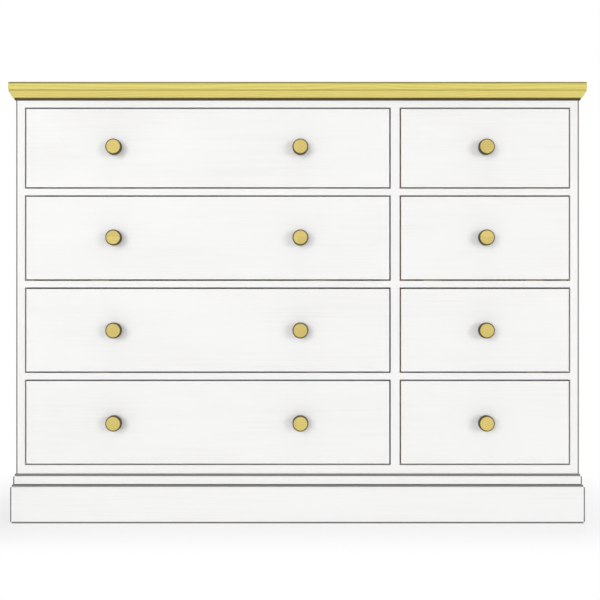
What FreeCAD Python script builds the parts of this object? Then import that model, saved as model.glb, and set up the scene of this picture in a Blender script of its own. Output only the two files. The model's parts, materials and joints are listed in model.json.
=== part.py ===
import FreeCAD, Part
import math
import operator
import os
from types import SimpleNamespace

import Sketcher

# Wide painted chest of drawers: one case on a plinth, with four wide drawers beside four narrow ones,
# a wooden top on a sloping cornice, and turned wooden knobs.
# The origin is on the floor under the middle of the chest. The drawers face -Y, and +Z is up.

# Driving sizes in millimetres, counts, and shares of the sizes that they follow.
SIZES = {
    # Case
    "board": 20,
    "wide_opening": 834,
    "narrow_opening": 389,
    "case_depth": 450,
    "top_row_opening": 185,
    "row_opening": 195,
    "rail_height": 15,
    "top_rail_height": 17,
    "rail_depth": 60,
    "tenon_length": 8,
    "tenon_shoulder": 4,
    "tenon_setback": 10,
    "tongue_shoulder": 6,
    "runner_width": 20,
    "housing_depth": 4,
    "case_foot_bevel": 1.5,
    "case_edge_round": 2.5,
    # Boards of the back
    "back_thickness": 10,
    "back_rebate": 10,
    "back_board_count": 12,
    "back_tongue_length": 5,
    "back_tongue_thickness": 3,
    "back_board_gap": 1,
    "back_board_bevel": 2.5,
    # Drawer stops
    "stop_width": 40,
    "stop_length": 30,
    "stop_height": 6,
    "stop_place_share": 0.2,
    # Plinth
    "plinth_height": 87,
    "plinth_proud": 10.5,
    "plinth_thickness": 20,
    "plinth_bevel": 1.5,
    "plinth_groove_height": 4,
    "plinth_groove_depth": 3,
    "plinth_foot_height": 4,
    "plinth_foot_depth": 2.5,
    "block_width": 40,
    "block_floor_gap": 5,
    # Base moulding
    "moulding_height": 24,
    "moulding_proud": 5.2,
    "moulding_width": 40,
    "moulding_bevel": 1.5,
    "moulding_groove_height": 4.5,
    "moulding_groove_depth": 3,
    "moulding_foot_height": 1.5,
    "moulding_foot_depth": 3,
    # Cornice
    "cornice_height": 20,
    "cornice_width": 50,
    "cornice_proud": 14,
    "soffit_height": 4.8,
    "soffit_proud": 6,
    "soffit_depth": 3,
    "cornice_quirk": 1,
    # Top board and the screws that hold it
    "top_thickness": 19,
    "top_overhang": 14,
    "top_edge_round": 2.5,
    "wide_screw_count": 3,
    "narrow_screw_count": 2,
    "screw_end_distance": 90,
    "screw_edge_distance": 22,
    "screw_length": 48,
    "screw_radius": 2.2,
    "screw_head_radius": 4.4,
    "screw_point_length": 6,
    # Drawers
    "front_thickness": 20,
    "front_edge_round": 1,
    "side_thickness": 12,
    "side_drop": 14,
    "box_back_thickness": 12,
    "box_back_drop": 6,
    "dovetail_lap": 5,
    "front_tail_count": 5,
    "back_tail_count": 4,
    "tail_width_share": 0.68,
    "tail_slope_share": 0.16,
    "bottom_thickness": 6,
    "groove_depth": 6,
    # Knobs
    "knob_place_share": 0.247,
    "knob_projection": 30,
    "knob_radius": 18,
    "knob_crown": 1.6,
    "knob_rim_height": 17,
    "knob_rim_round": 3.2,
    "knob_neck_radius": 8,
    "knob_neck_height": 9,
    "knob_foot_radius": 11,
    "knob_foot_height": 3,
    "spigot_radius": 6,
    # Clearances
    "drawer_gap": 3,
    "drawer_rear_gap": 25,
    "running_gap": 0.3,
    "joint_gap": 0.1,
    "bottom_slack": 0.5,
    "cut_overrun": 5,
}

OPERATIONS = {"+": operator.add, "-": operator.sub, "*": operator.mul, "/": operator.truediv}

# Sketch planes whose normal points against the axis that they face.
BACKWARD_PLANES = {"XZ"}

# Two coordinates closer than this are the same, and a smaller change of volume is none.
SAME_PLACE = 1e-6
LEAST_CUT = 1e-3

LEFT_HAND = "left"
RIGHT_HAND = "right"

# Places on a sketch's edge, as its constraints count them, and the edge that holds the sketch's origin.
START_POINT, END_POINT, CENTRE_POINT = range(1, 4)
ORIGIN_EDGE = -START_POINT


class Length:
    """A number with the formula that binds a feature to the sheets."""

    def __init__(self, value, formula):
        self.value = value
        self.formula = formula

    def __add__(self, other):
        return combine(self, "+", other)

    def __radd__(self, other):
        return combine(other, "+", self)

    def __sub__(self, other):
        return combine(self, "-", other)

    def __rsub__(self, other):
        return combine(other, "-", self)

    def __mul__(self, other):
        return combine(self, "*", other)

    def __rmul__(self, other):
        return combine(other, "*", self)

    def __truediv__(self, other):
        return combine(self, "/", other)

    def __neg__(self):
        return combine(0, "-", self)


def as_length(number):
    """Gives a plain number the form of a length."""
    if isinstance(number, Length):
        return number
    return Length(float(number), repr(number))


def combine(left, sign, right):
    """Joins two lengths in value and in formula."""
    left = as_length(left)
    right = as_length(right)
    value = OPERATIONS[sign](left.value, right.value)
    return Length(value, f"({left.formula} {sign} {right.formula})")


doc = FreeCAD.newDocument("chest_of_drawers")
sheet = doc.addObject("Spreadsheet::Sheet", "Sizes")
layout = doc.addObject("Spreadsheet::Sheet", "Layout")
derived_names = []
nodes = {}


def fill_sheet():
    """Writes the driving sizes to the sheet and returns them as lengths."""
    for row, (name, number) in enumerate(SIZES.items(), start=1):
        sheet.set(f"A{row}", name)
        sheet.set(f"B{row}", str(number))
        sheet.setAlias(f"B{row}", name)
    doc.recompute()
    return SimpleNamespace(**{name: Length(float(getattr(sheet, name)), f"Sizes.{name}") for name in SIZES})


def derive(name, length):
    """Keeps a worked-out length under its own name in the second sheet."""
    derived_names.append(name)
    row = len(derived_names)
    layout.set(f"A{row}", name)
    layout.set(f"B{row}", "=" + length.formula.replace("Layout.", ""))
    layout.setAlias(f"B{row}", name)
    return Length(length.value, f"Layout.{name}")


size = fill_sheet()

# Heights, from the floor up
case_bottom = derive("case_bottom", size.plinth_height + size.moulding_height)
floor_4 = derive("floor_4", case_bottom + size.board)
floor_3 = derive("floor_3", floor_4 + size.row_opening + size.rail_height)
floor_2 = derive("floor_2", floor_3 + size.row_opening + size.rail_height)
floor_1 = derive("floor_1", floor_2 + size.row_opening + size.rail_height)
top_rail_bottom = derive("top_rail_bottom", floor_1 + size.top_row_opening)
case_top = derive("case_top", top_rail_bottom + size.top_rail_height)
case_height = derive("case_height", case_top - case_bottom)
top_bottom = derive("top_bottom", case_top + size.cornice_height)

# Widths, from the left
case_width = derive("case_width", size.wide_opening + size.narrow_opening + 3 * size.board)
case_left = derive("case_left", -case_width / 2)
wide_left = derive("wide_left", case_left + size.board)
wide_right = derive("wide_right", wide_left + size.wide_opening)
narrow_left = derive("narrow_left", wide_right + size.board)
narrow_right = derive("narrow_right", narrow_left + size.narrow_opening)
clear_width = derive("clear_width", narrow_right - wide_left)

# Depths: the knobs stand out furthest in front, so they count in the middle of the whole
face_y = derive("face_y", (size.knob_projection - size.case_depth) / 2)
rear_y = derive("rear_y", face_y + size.case_depth)
inner_depth = derive("inner_depth", size.case_depth - size.back_thickness)
drawer_length = derive("drawer_length", inner_depth - size.drawer_rear_gap)
rear_rail_start = derive("rear_rail_start", inner_depth - size.rail_depth)
runner_length = derive("runner_length", inner_depth - size.rail_depth - 2 * size.joint_gap)

# Inner faces of the strips round the case, measured from the case's outer face
plinth_inner = derive("plinth_inner", size.plinth_thickness - size.plinth_proud)
moulding_inner = derive("moulding_inner", size.moulding_width - size.moulding_proud)
cornice_inner = derive("cornice_inner", size.cornice_width - size.cornice_proud)

# Sizes that follow from other pieces
partition_height = derive("partition_height", top_rail_bottom - floor_4)
back_room = derive("back_room", case_width - 2 * (size.board - size.back_rebate + size.joint_gap))
back_board_pitch = derive("back_board_pitch", (back_room - size.back_tongue_length) / size.back_board_count)
screw_head_height = derive("screw_head_height", size.screw_head_radius - size.screw_radius)
screw_tip = derive("screw_tip", top_rail_bottom + size.screw_length)

# Rows of drawers, from the top: floor and height of the opening
ROWS = [
    (floor_1, size.top_row_opening),
    (floor_2, size.row_opening),
    (floor_3, size.row_opening),
    (floor_4, size.row_opening),
]
RAIL_FLOORS = [floor_1, floor_2, floor_3]


def rect(left, low, right, high):
    """Corners of an upright rectangle."""
    return [(left, low), (right, low), (right, high), (left, high)]


def disc(across, up, radius):
    """A circle in a sketch."""
    return SimpleNamespace(across=as_length(across), up=as_length(up), radius=radius)


def edge_between(start, end, radius):
    """A straight edge, or an arc that turns left for a positive radius and right for a negative one."""
    first = FreeCAD.Vector(start[0].value, start[1].value, 0)
    last = FreeCAD.Vector(end[0].value, end[1].value, 0)
    if radius is None:
        return Part.LineSegment(first, last)
    chord = last - first
    turn = math.copysign(1, radius.value)
    rise = math.sqrt(radius.value ** 2 - (chord.Length / 2) ** 2)
    aside = FreeCAD.Vector(-chord.y, chord.x, 0).normalize()
    centre = (first + last) / 2 + aside * rise * turn
    ends = (first, last) if turn > 0 else (last, first)
    angles = [math.atan2(point.y - centre.y, point.x - centre.x) for point in ends]
    return Part.ArcOfCircle(Part.Circle(centre, FreeCAD.Vector(0, 0, 1), abs(radius.value)), *angles)


class Drawing:
    """Collects the edges and constraints of one sketch, then writes them to it."""

    def __init__(self):
        self.edges = []
        self.constraints = []
        self.formulas = {}

    def bind(self, kind, *places, length):
        """Adds a measured constraint that follows its length's formula."""
        self.formulas[len(self.constraints)] = length.formula
        self.constraints.append(Sketcher.Constraint(kind, *places, length.value))

    def circle(self, outline):
        """Adds a circle, placed and sized by its lengths."""
        index = len(self.edges)
        centre = FreeCAD.Vector(outline.across.value, outline.up.value, 0)
        self.edges.append(Part.Circle(centre, FreeCAD.Vector(0, 0, 1), outline.radius.value))
        self.bind("DistanceX", ORIGIN_EDGE, START_POINT, index, CENTRE_POINT, length=outline.across)
        self.bind("DistanceY", ORIGIN_EDGE, START_POINT, index, CENTRE_POINT, length=outline.up)
        self.bind("Radius", index, length=outline.radius)

    def polygon(self, points):
        """Adds a closed outline. A point's third item, if any, is the radius of the arc that leaves it."""
        first = len(self.edges)
        count = len(points)
        places = [(as_length(point[0]), as_length(point[1])) for point in points]
        radii = [point[2] if len(point) > 2 else None for point in points]
        starts = []
        ends = []
        for radius in radii:
            reversed_arc = radius is not None and radius.value < 0
            starts.append(END_POINT if reversed_arc else START_POINT)
            ends.append(START_POINT if reversed_arc else END_POINT)
        for k in range(count):
            self.edges.append(edge_between(places[k], places[(k + 1) % count], radii[k]))
        for k in range(count):
            after = (k + 1) % count
            self.constraints.append(
                Sketcher.Constraint("Coincident", first + k, ends[k], first + after, starts[after]))
        for k, (across, up) in enumerate(places):
            straight = k > 0 and radii[k - 1] is None
            before = places[k - 1]
            if straight and across.formula == before[0].formula:
                self.constraints.append(Sketcher.Constraint("Vertical", first + k - 1))
            else:
                self.bind("DistanceX", ORIGIN_EDGE, START_POINT, first + k, starts[k], length=across)
            if straight and up.formula == before[1].formula:
                self.constraints.append(Sketcher.Constraint("Horizontal", first + k - 1))
            else:
                self.bind("DistanceY", ORIGIN_EDGE, START_POINT, first + k, starts[k], length=up)
            if radii[k] is not None:
                bend = radii[k] if radii[k].value > 0 else -radii[k]
                self.bind("Radius", first + k, length=bend)

    def write(self, sketch):
        """Draws everything in the sketch and binds its measures."""
        sketch.addGeometry(self.edges, False)
        sketch.addConstraint(self.constraints)
        for index, formula in self.formulas.items():
            sketch.setExpression(f"Constraints[{index}]", formula)


def new_body(label, across=0, along=0, up=0, turn=0):
    """Starts a body whose own origin stands at a place in the chest, turned about the upright axis."""
    body = doc.addObject("PartDesign::Body", label)
    body.Label = label
    body.Placement = FreeCAD.Placement(FreeCAD.Vector(), FreeCAD.Rotation(FreeCAD.Vector(0, 0, 1), turn))
    for axis, length in (("x", across), ("y", along), ("z", up)):
        body.setExpression(f".Placement.Base.{axis}", as_length(length).formula)
    return body


def origin_feature(body, role):
    """Finds one of the body's own origin planes."""
    return next(feature for feature in body.Origin.OriginFeatures if feature.Role == role)


def new_sketch(body, plane, outlines, start=0, across=0):
    """Draws outlines on a plane of the body, at a start along the axis that the plane faces."""
    sketch = body.newObject("Sketcher::SketchObject", "Outline")
    sketch.AttachmentSupport = [(origin_feature(body, f"{plane}_Plane"), "")]
    sketch.MapMode = "FlatFace"
    offset = -as_length(start) if plane in BACKWARD_PLANES else as_length(start)
    sketch.setExpression(".AttachmentOffset.Base.x", as_length(across).formula)
    sketch.setExpression(".AttachmentOffset.Base.z", offset.formula)
    drawing = Drawing()
    for outline in outlines:
        if isinstance(outline, list):
            drawing.polygon(outline)
        else:
            drawing.circle(outline)
    drawing.write(sketch)
    return sketch


def add(body, plane, outlines, start, length):
    """Pads outlines from a start, up the axis that the plane faces."""
    sketch = new_sketch(body, plane, outlines, start)
    pad = body.newObject("PartDesign::Pad", "Pad")
    pad.Profile = sketch
    pad.Reversed = plane in BACKWARD_PLANES
    pad.setExpression("Length", as_length(length).formula)
    body.Tip = pad
    doc.recompute()
    return pad


def cut(body, plane, outlines, start, length):
    """Cuts outlines from a start, up the axis that the plane faces."""
    before = body.Shape.Volume
    sketch = new_sketch(body, plane, outlines, start)
    pocket = body.newObject("PartDesign::Pocket", "Pocket")
    pocket.Profile = sketch
    pocket.Reversed = plane not in BACKWARD_PLANES
    pocket.setExpression("Length", as_length(length).formula)
    body.Tip = pocket
    doc.recompute()
    if before - body.Shape.Volume < LEAST_CUT:
        raise RuntimeError(f"{body.Label}: a pocket cuts nothing")
    return pocket


def turn_about(body, plane, outline, start=0, across=0):
    """Turns an outline about the second axis of its own sketch."""
    sketch = new_sketch(body, plane, [outline], start, across)
    revolution = body.newObject("PartDesign::Revolution", "Turned")
    revolution.Profile = sketch
    revolution.ReferenceAxis = (sketch, ["V_Axis"])
    revolution.Angle = 360
    body.Tip = revolution
    doc.recompute()
    return revolution


def mirror(body, features):
    """Repeats features on the other side of the body's middle."""
    mirrored = body.newObject("PartDesign::Mirrored", "Mirrored")
    mirrored.Originals = features
    mirrored.MirrorPlane = (origin_feature(body, "YZ_Plane"), [""])
    body.Tip = mirrored
    doc.recompute()


def repeat(body, feature, role, pitch, count):
    """Repeats a feature in a row along one of the body's axes."""
    row = body.newObject("PartDesign::LinearPattern", "Row")
    row.Originals = [feature]
    row.Direction = (origin_feature(body, role), [""])
    row.setExpression("Length", (pitch * (count - 1)).formula)
    row.Occurrences = count
    body.Tip = row
    doc.recompute()


def lies_on(edge, line):
    """Tells whether an edge runs along a line, given by two of its coordinates."""
    box = edge.BoundBox
    low = {"x": box.XMin, "y": box.YMin, "z": box.ZMin}
    high = {"x": box.XMax, "y": box.YMax, "z": box.ZMax}
    for axis, length in line.items():
        place = as_length(length).value
        if abs(low[axis] - place) > SAME_PLACE or abs(high[axis] - place) > SAME_PLACE:
            return False
    return True


def ease(body, kind, measure, length, lines):
    """Rounds or bevels the edges of a body that run along the given lines."""
    base = body.Tip
    names = []
    for number, edge in enumerate(base.Shape.Edges, start=1):
        if any(lies_on(edge, line) for line in lines):
            names.append(f"Edge{number}")
    feature = body.newObject(f"PartDesign::{kind}", kind)
    feature.Base = (base, names)
    feature.setExpression(measure, length.formula)
    body.Tip = feature
    doc.recompute()


def keep(node_object):
    """Counts an object as one of the chest's sub-parts."""
    nodes[node_object.Label] = node_object


def group(label, members):
    """Joins separate pieces in one sub-part."""
    compound = doc.addObject("Part::Compound", label)
    compound.Label = label
    compound.Links = members
    doc.recompute()
    keep(compound)


# Plinth, base moulding and cornice: strips round the case, with mitred corners in front

def strip(label, section, proud, inner, height, ends, mitres, turn, place):
    """A strip of one section, drawn outwards from the case's face, cut square or mitred at its ends."""
    low, high = ends
    mitre_low, mitre_high = mitres
    body = new_body(label, *place, turn=turn)
    start = low - proud if mitre_low else low
    end = high + proud if mitre_high else high
    add(body, "YZ", [section], start, end - start)
    over = size.cut_overrun
    corners = []
    if mitre_low:
        corners.append([
            (low - proud - over, -proud - over),
            (low + inner + over, inner + over),
            (low - proud - over, inner + over),
        ])
    if mitre_high:
        corners.append([
            (high + proud + over, -proud - over),
            (high + proud + over, inner + over),
            (high - inner - over, inner + over),
        ])
    if corners:
        cut(body, "XY", corners, -over, height + 2 * over)
    keep(body)
    return body


def strips_round(name, section, back_section, proud, inner, height, up):
    """Front, end and back strips of one section round the case."""
    half = case_width / 2
    back_half = half - inner
    depth = size.case_depth
    return {
        "front": strip(f"{name}_front", section, proud, inner, height, (-half, half), (True, True), 0,
                       (0, face_y, up)),
        "left": strip(f"{name}_left", section, proud, inner, height, (-depth, as_length(0)), (False, True),
                      -90, (case_left, face_y, up)),
        "right": strip(f"{name}_right", section, proud, inner, height, (as_length(0), depth), (True, False),
                       90, (-case_left, face_y, up)),
        "back": strip(f"{name}_back", back_section, proud, inner, height, (-back_half, back_half),
                      (False, False), 180, (0, rear_y, up)),
    }


def grooved_section(proud, inner, height, bevel, groove, foot):
    """A board on edge, cut back over its bevelled upper edge and under its lower one for shadow lines."""
    groove_height, groove_depth = groove
    foot_height, foot_depth = foot
    shoulder = height - groove_height
    return [
        (foot_depth - proud, 0),
        (inner, 0),
        (inner, height),
        (groove_depth - proud, height),
        (groove_depth - proud, shoulder),
        (bevel - proud, shoulder),
        (-proud, shoulder - bevel),
        (-proud, foot_height),
        (foot_depth - proud, foot_height),
    ]


def plinth():
    """Four boards on edge, with a glue block in each corner."""
    groove = (size.plinth_groove_height, size.plinth_groove_depth)
    foot = (size.plinth_foot_height, size.plinth_foot_depth)
    section = grooved_section(size.plinth_proud, plinth_inner, size.plinth_height, size.plinth_bevel,
                              groove, foot)
    back_section = rect(0, 0, size.plinth_thickness, size.plinth_height)
    strips_round("plinth", section, back_section, size.plinth_proud, plinth_inner, size.plinth_height, 0)
    blocks = new_body("plinth_corner_blocks", 0, face_y, size.block_floor_gap)
    near = plinth_inner + size.joint_gap
    outer = case_width / 2 - near
    far = size.case_depth - size.plinth_thickness - size.joint_gap
    outlines = []
    for side_low, side_high in ((-outer, size.block_width - outer), (outer - size.block_width, outer)):
        outlines.append(rect(side_low, near, side_high, near + size.block_width))
        outlines.append(rect(side_low, far - size.block_width, side_high, far))
    add(blocks, "XY", outlines, 0, size.plinth_height - size.block_floor_gap)
    keep(blocks)


def base_moulding():
    """The lower step that carries the case, on the plinth."""
    groove = (size.moulding_groove_height, size.moulding_groove_depth)
    foot = (size.moulding_foot_height, size.moulding_foot_depth)
    section = grooved_section(size.moulding_proud, moulding_inner, size.moulding_height, size.moulding_bevel,
                              groove, foot)
    back_section = rect(0, 0, moulding_inner, size.moulding_height)
    strips_round("base_moulding", section, back_section, size.moulding_proud, moulding_inner,
                 size.moulding_height, size.plinth_height)


def screw_bays():
    """Column, first place, pitch and count of the top's screws over each column of drawers."""
    bays = []
    for column, left, opening, count in (
            ("wide", wide_left, size.wide_opening, size.wide_screw_count),
            ("narrow", narrow_left, size.narrow_opening, size.narrow_screw_count)):
        number = int(count.value)
        pitch = (opening - 2 * size.screw_end_distance) / (number - 1)
        bays.append((column, left + size.screw_end_distance, pitch, number))
    return bays


def screw_places():
    """Where the screws of the top stand across the case."""
    return [first + pitch * k for column, first, pitch, number in screw_bays() for k in range(number)]


def screw_holes(body, places, along, start, length, radius):
    """A row of upright holes for the screws of the top."""
    cut(body, "XY", [disc(across, along, radius) for across in places], start, length)


def cornice():
    """The sloping strips between the case and the top board, cut back under their lower edge."""
    section = [
        (size.soffit_depth - size.soffit_proud, 0),
        (cornice_inner, 0),
        (cornice_inner, size.cornice_height),
        (size.cornice_quirk - size.cornice_proud, size.cornice_height),
        (-size.cornice_proud, size.cornice_height - size.cornice_quirk),
        (-size.soffit_proud, size.soffit_height),
        (size.soffit_depth - size.soffit_proud, size.soffit_height),
    ]
    back_section = rect(0, 0, cornice_inner, size.cornice_height)
    strips = strips_round("cornice", section, back_section, size.cornice_proud, cornice_inner,
                          size.cornice_height, case_top)
    hole = size.screw_radius + size.joint_gap
    places = screw_places()
    turned_places = [-across for across in places]
    for end, row in (("front", places), ("back", turned_places)):
        screw_holes(strips[end], row, size.screw_edge_distance, 0, size.cornice_height, hole)


# Case

def tenon_face(floor, height, near, far, gap):
    """The end of a rail's tenon, set in from the rail's faces and edges, seen from the side."""
    low = floor + size.tenon_shoulder - gap
    high = floor + height - size.tenon_shoulder + gap
    return rect(near + size.tenon_setback - gap, low, far - size.tenon_setback + gap, high)


def rail_mortises():
    """Mortises for the drawer rails, seen from the side, from the case's bottom up."""
    faces = []
    for floor in RAIL_FLOORS:
        under = floor - size.rail_height - case_bottom
        faces.append(tenon_face(under, size.rail_height, as_length(0), size.rail_depth, size.joint_gap))
    return faces


def runner_housings():
    """Housings for the drawer runners, seen from the side, from the case's bottom up."""
    return [rect(size.rail_depth, floor - size.rail_height - case_bottom, inner_depth, floor - case_bottom)
            for floor in RAIL_FLOORS]


def handed(hand, near, far):
    """Start and length of a stretch that is measured inwards from a side panel's outer face."""
    if hand == LEFT_HAND:
        return near, far - near
    return -far, far - near


def side_panel(label, hand, across):
    """A side of the case: rebated for the back, mortised for the rails and housed for the runners."""
    body = new_body(label, across, face_y, case_bottom)
    add(body, "YZ", [rect(0, 0, size.case_depth, case_height)], *handed(hand, as_length(0), size.board))
    ease(body, "Fillet", "Radius", size.case_edge_round, [{"x": 0, "y": 0}])
    ease(body, "Chamfer", "Size", size.case_foot_bevel, [{"x": 0, "z": 0}, {"y": 0, "z": 0}])
    over = size.cut_overrun
    rebate = rect(inner_depth, -over, size.case_depth + over, case_height + over)
    cut(body, "YZ", [rebate], *handed(hand, size.board - size.back_rebate, size.board + over))
    gap = size.joint_gap
    top_under = top_rail_bottom - case_bottom
    mortises = rail_mortises()
    mortises.append(tenon_face(as_length(0), size.board, as_length(0), inner_depth, gap))
    mortises.append(tenon_face(top_under, size.top_rail_height, as_length(0), size.rail_depth, gap))
    mortises.append(tenon_face(top_under, size.top_rail_height, rear_rail_start, inner_depth, gap))
    cut(body, "YZ", mortises, *handed(hand, size.board - size.tenon_length - gap, size.board))
    housings = runner_housings()
    housings.append(rect(size.rail_depth, top_under, rear_rail_start, case_height))
    cut(body, "YZ", housings, *handed(hand, size.board - size.housing_depth, size.board))
    keep(body)


def tongue_width(gap):
    """Near and far face of the tongue along the partition's edges."""
    return size.tongue_shoulder - gap, size.board - size.tongue_shoulder + gap


def tongue_stretches(gap):
    """Near and far end of the partition's tongues: along the base board, and in the two top rails."""
    inset = size.tenon_setback - gap
    return {
        "base": (inset, inner_depth - inset),
        "front": (inset, size.rail_depth - inset),
        "rear": (rear_rail_start + inset, inner_depth - inset),
    }


def centre_partition():
    """The upright between the columns, tongued into the base board and the top rails."""
    body = new_body("centre_partition", wide_right, face_y, floor_4)
    add(body, "YZ", [rect(0, 0, inner_depth, partition_height)], 0, size.board)
    near, far = tongue_width(0)
    stretches = tongue_stretches(0)
    add(body, "XY", [rect(near, stretches["base"][0], far, stretches["base"][1])],
        -size.tenon_length, size.tenon_length)
    tops = [rect(near, stretches[end][0], far, stretches[end][1]) for end in ("front", "rear")]
    add(body, "XY", tops, partition_height, size.tenon_length)
    lift = floor_4 - case_bottom
    depth = size.tenon_length + size.joint_gap
    mortises = [[(y, z - lift) for y, z in face] for face in rail_mortises()]
    housings = [[(y, z - lift) for y, z in face] for face in runner_housings()]
    cut(body, "YZ", mortises, 0, depth)
    cut(body, "YZ", mortises, size.board - depth, depth)
    cut(body, "YZ", housings, 0, size.housing_depth)
    cut(body, "YZ", housings, size.board - size.housing_depth, size.housing_depth)
    keep(body)


def tenoned_board(label, up, height, near, far):
    """A board across the whole case with a stub tenon on each end, from its near to its far edge."""
    body = new_body(label, wide_left, face_y, up)
    add(body, "XY", [rect(0, near, clear_width, far)], 0, height)
    face = tenon_face(as_length(0), height, near, far, 0)
    add(body, "YZ", [face], -size.tenon_length, clear_width + 2 * size.tenon_length)
    return body


def partition_groove(body, stretch, start):
    """A groove for one tongue of the partition."""
    near, far = tongue_width(size.joint_gap)
    left = wide_right - wide_left
    cut(body, "XY", [rect(left + near, stretch[0], left + far, stretch[1])],
        start, size.tenon_length + size.joint_gap)


def base_board():
    """The bottom of the case, whose front edge is the lowest rail."""
    body = tenoned_board("base_board", case_bottom, size.board, as_length(0), inner_depth)
    ease(body, "Chamfer", "Size", size.case_foot_bevel, [{"y": 0, "z": 0}])
    stretch = tongue_stretches(size.joint_gap)["base"]
    partition_groove(body, stretch, size.board - size.tenon_length - size.joint_gap)
    keep(body)


def top_rail(label, end, near, far, screw_along):
    """A rail under the top, grooved for the partition and drilled for the screws."""
    body = tenoned_board(label, top_rail_bottom, size.top_rail_height, near, far)
    partition_groove(body, tongue_stretches(size.joint_gap)[end], 0)
    hole = size.screw_radius + size.joint_gap
    sink = size.screw_head_radius + size.joint_gap
    places = [across - wide_left for across in screw_places()]
    screw_holes(body, places, screw_along, 0, size.top_rail_height, hole)
    screw_holes(body, places, screw_along, 0, screw_head_height, sink)
    keep(body)


def drawer_rails(label, left, right):
    """The rails between the drawers of one column, each with a stub tenon on both ends."""
    body = new_body(label, 0, face_y, 0)
    fronts = [rect(left, floor - size.rail_height, right, floor) for floor in RAIL_FLOORS]
    add(body, "XZ", fronts, 0, size.rail_depth)
    tenons = []
    for floor in RAIL_FLOORS:
        low = floor - size.rail_height + size.tenon_shoulder
        high = floor - size.tenon_shoulder
        tenons.append(rect(left - size.tenon_length, low, right + size.tenon_length, high))
    add(body, "XZ", tenons, size.tenon_setback, size.rail_depth - 2 * size.tenon_setback)
    keep(body)


def drawer_runners(label, left, right):
    """The strips behind the rails that the drawers of one column run on, housed in the uprights."""
    body = new_body(label, 0, face_y, 0)
    hold = size.housing_depth - size.joint_gap
    reach = size.runner_width - size.housing_depth
    ends = []
    for floor in RAIL_FLOORS:
        low = floor - size.rail_height + size.joint_gap
        ends.append(rect(left - hold, low, left + reach, floor))
        ends.append(rect(right - reach, low, right + hold, floor))
    add(body, "XZ", ends, size.rail_depth + size.joint_gap, runner_length)
    keep(body)


def top_kickers():
    """The strips under the top that keep the uppermost drawers level as they are drawn out."""
    body = new_body("top_kickers", 0, face_y, 0)
    hold = size.housing_depth - size.joint_gap
    reach = size.runner_width - size.housing_depth
    low = top_rail_bottom + size.joint_gap
    ends = [
        rect(wide_left - hold, low, wide_left + reach, case_top),
        rect(wide_right - reach, low, narrow_left + reach, case_top),
        rect(narrow_right - reach, low, narrow_right + hold, case_top),
    ]
    add(body, "XZ", ends, size.rail_depth + size.joint_gap, runner_length - size.rail_depth)
    keep(body)


def drawer_stops():
    """Two small blocks behind each drawer front, which stop it flush with the face."""
    body = new_body("drawer_stops", 0, face_y, 0)
    ends = []
    for left, opening in ((wide_left, size.wide_opening), (narrow_left, size.narrow_opening)):
        inset = opening * size.stop_place_share
        half = size.stop_width / 2
        for floor, height in ROWS:
            for middle in (left + inset, left + opening - inset):
                ends.append(rect(middle - half, floor, middle + half, floor + size.stop_height))
    add(body, "XZ", ends, size.front_thickness + size.running_gap, size.stop_length)
    keep(body)


def back_boards():
    """Upright boards, tongued and grooved, in the rebates of the side panels."""
    gap = size.joint_gap
    body = new_body("back_boards", -back_room / 2, face_y + inner_depth, case_bottom)
    width = back_board_pitch - size.back_board_gap
    middle = size.back_thickness / 2
    tongue_low = middle - size.back_tongue_thickness / 2
    tongue_high = middle + size.back_tongue_thickness / 2
    groove_low = tongue_low - gap
    groove_high = tongue_high + gap
    groove_end = size.back_tongue_length
    outer = size.back_thickness
    tongue_end = width + size.back_tongue_length
    plan = [
        (0, gap),
        (width, gap),
        (width, tongue_low),
        (tongue_end, tongue_low),
        (tongue_end, tongue_high),
        (width, tongue_high),
        (width, outer - size.back_board_bevel),
        (width - size.back_board_bevel, outer),
        (size.back_board_bevel, outer),
        (0, outer - size.back_board_bevel),
        (0, groove_high),
        (groove_end, groove_high),
        (groove_end, groove_low),
        (0, groove_low),
    ]
    first = add(body, "XY", [plan], 0, case_height)
    repeat(body, first, "X_Axis", back_board_pitch, int(size.back_board_count.value))
    keep(body)


def top_board():
    """The wooden top, eased on every edge and drilled from below for its screws."""
    width = case_width + 2 * size.top_overhang
    body = new_body("top_board", 0, face_y, top_bottom)
    add(body, "XY", [rect(-width / 2, -size.top_overhang, width / 2, size.case_depth)], 0, size.top_thickness)
    lines = []
    for up in (0, size.top_thickness):
        lines.append({"y": -size.top_overhang, "z": up})
        lines.append({"y": size.case_depth, "z": up})
        lines.append({"x": -width / 2, "z": up})
        lines.append({"x": width / 2, "z": up})
    ease(body, "Fillet", "Radius", size.top_edge_round, lines)
    bite = screw_tip - top_bottom + size.joint_gap
    hole = size.screw_radius + size.joint_gap
    for along in (size.screw_edge_distance, size.case_depth - size.screw_edge_distance):
        screw_holes(body, screw_places(), along, 0, bite, hole)
    keep(body)


def assembly_screws():
    """Screws up through the top rails and the cornice into the top board."""
    shank_top = screw_tip - size.screw_point_length
    neck = top_rail_bottom + screw_head_height
    profile = [
        (0, top_rail_bottom),
        (size.screw_head_radius, top_rail_bottom),
        (size.screw_radius, neck),
        (size.screw_radius, shank_top),
        (0, screw_tip),
    ]
    rows = []
    for row, along in (("front", size.screw_edge_distance),
                       ("rear", size.case_depth - size.screw_edge_distance)):
        for column, first, pitch, number in screw_bays():
            body = new_body(f"{row}_{column}_screws", first, face_y + along, 0)
            turned = turn_about(body, "XZ", profile)
            repeat(body, turned, "X_Axis", pitch, number)
            rows.append(body)
    group("assembly_screws", rows)


# Drawers

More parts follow.
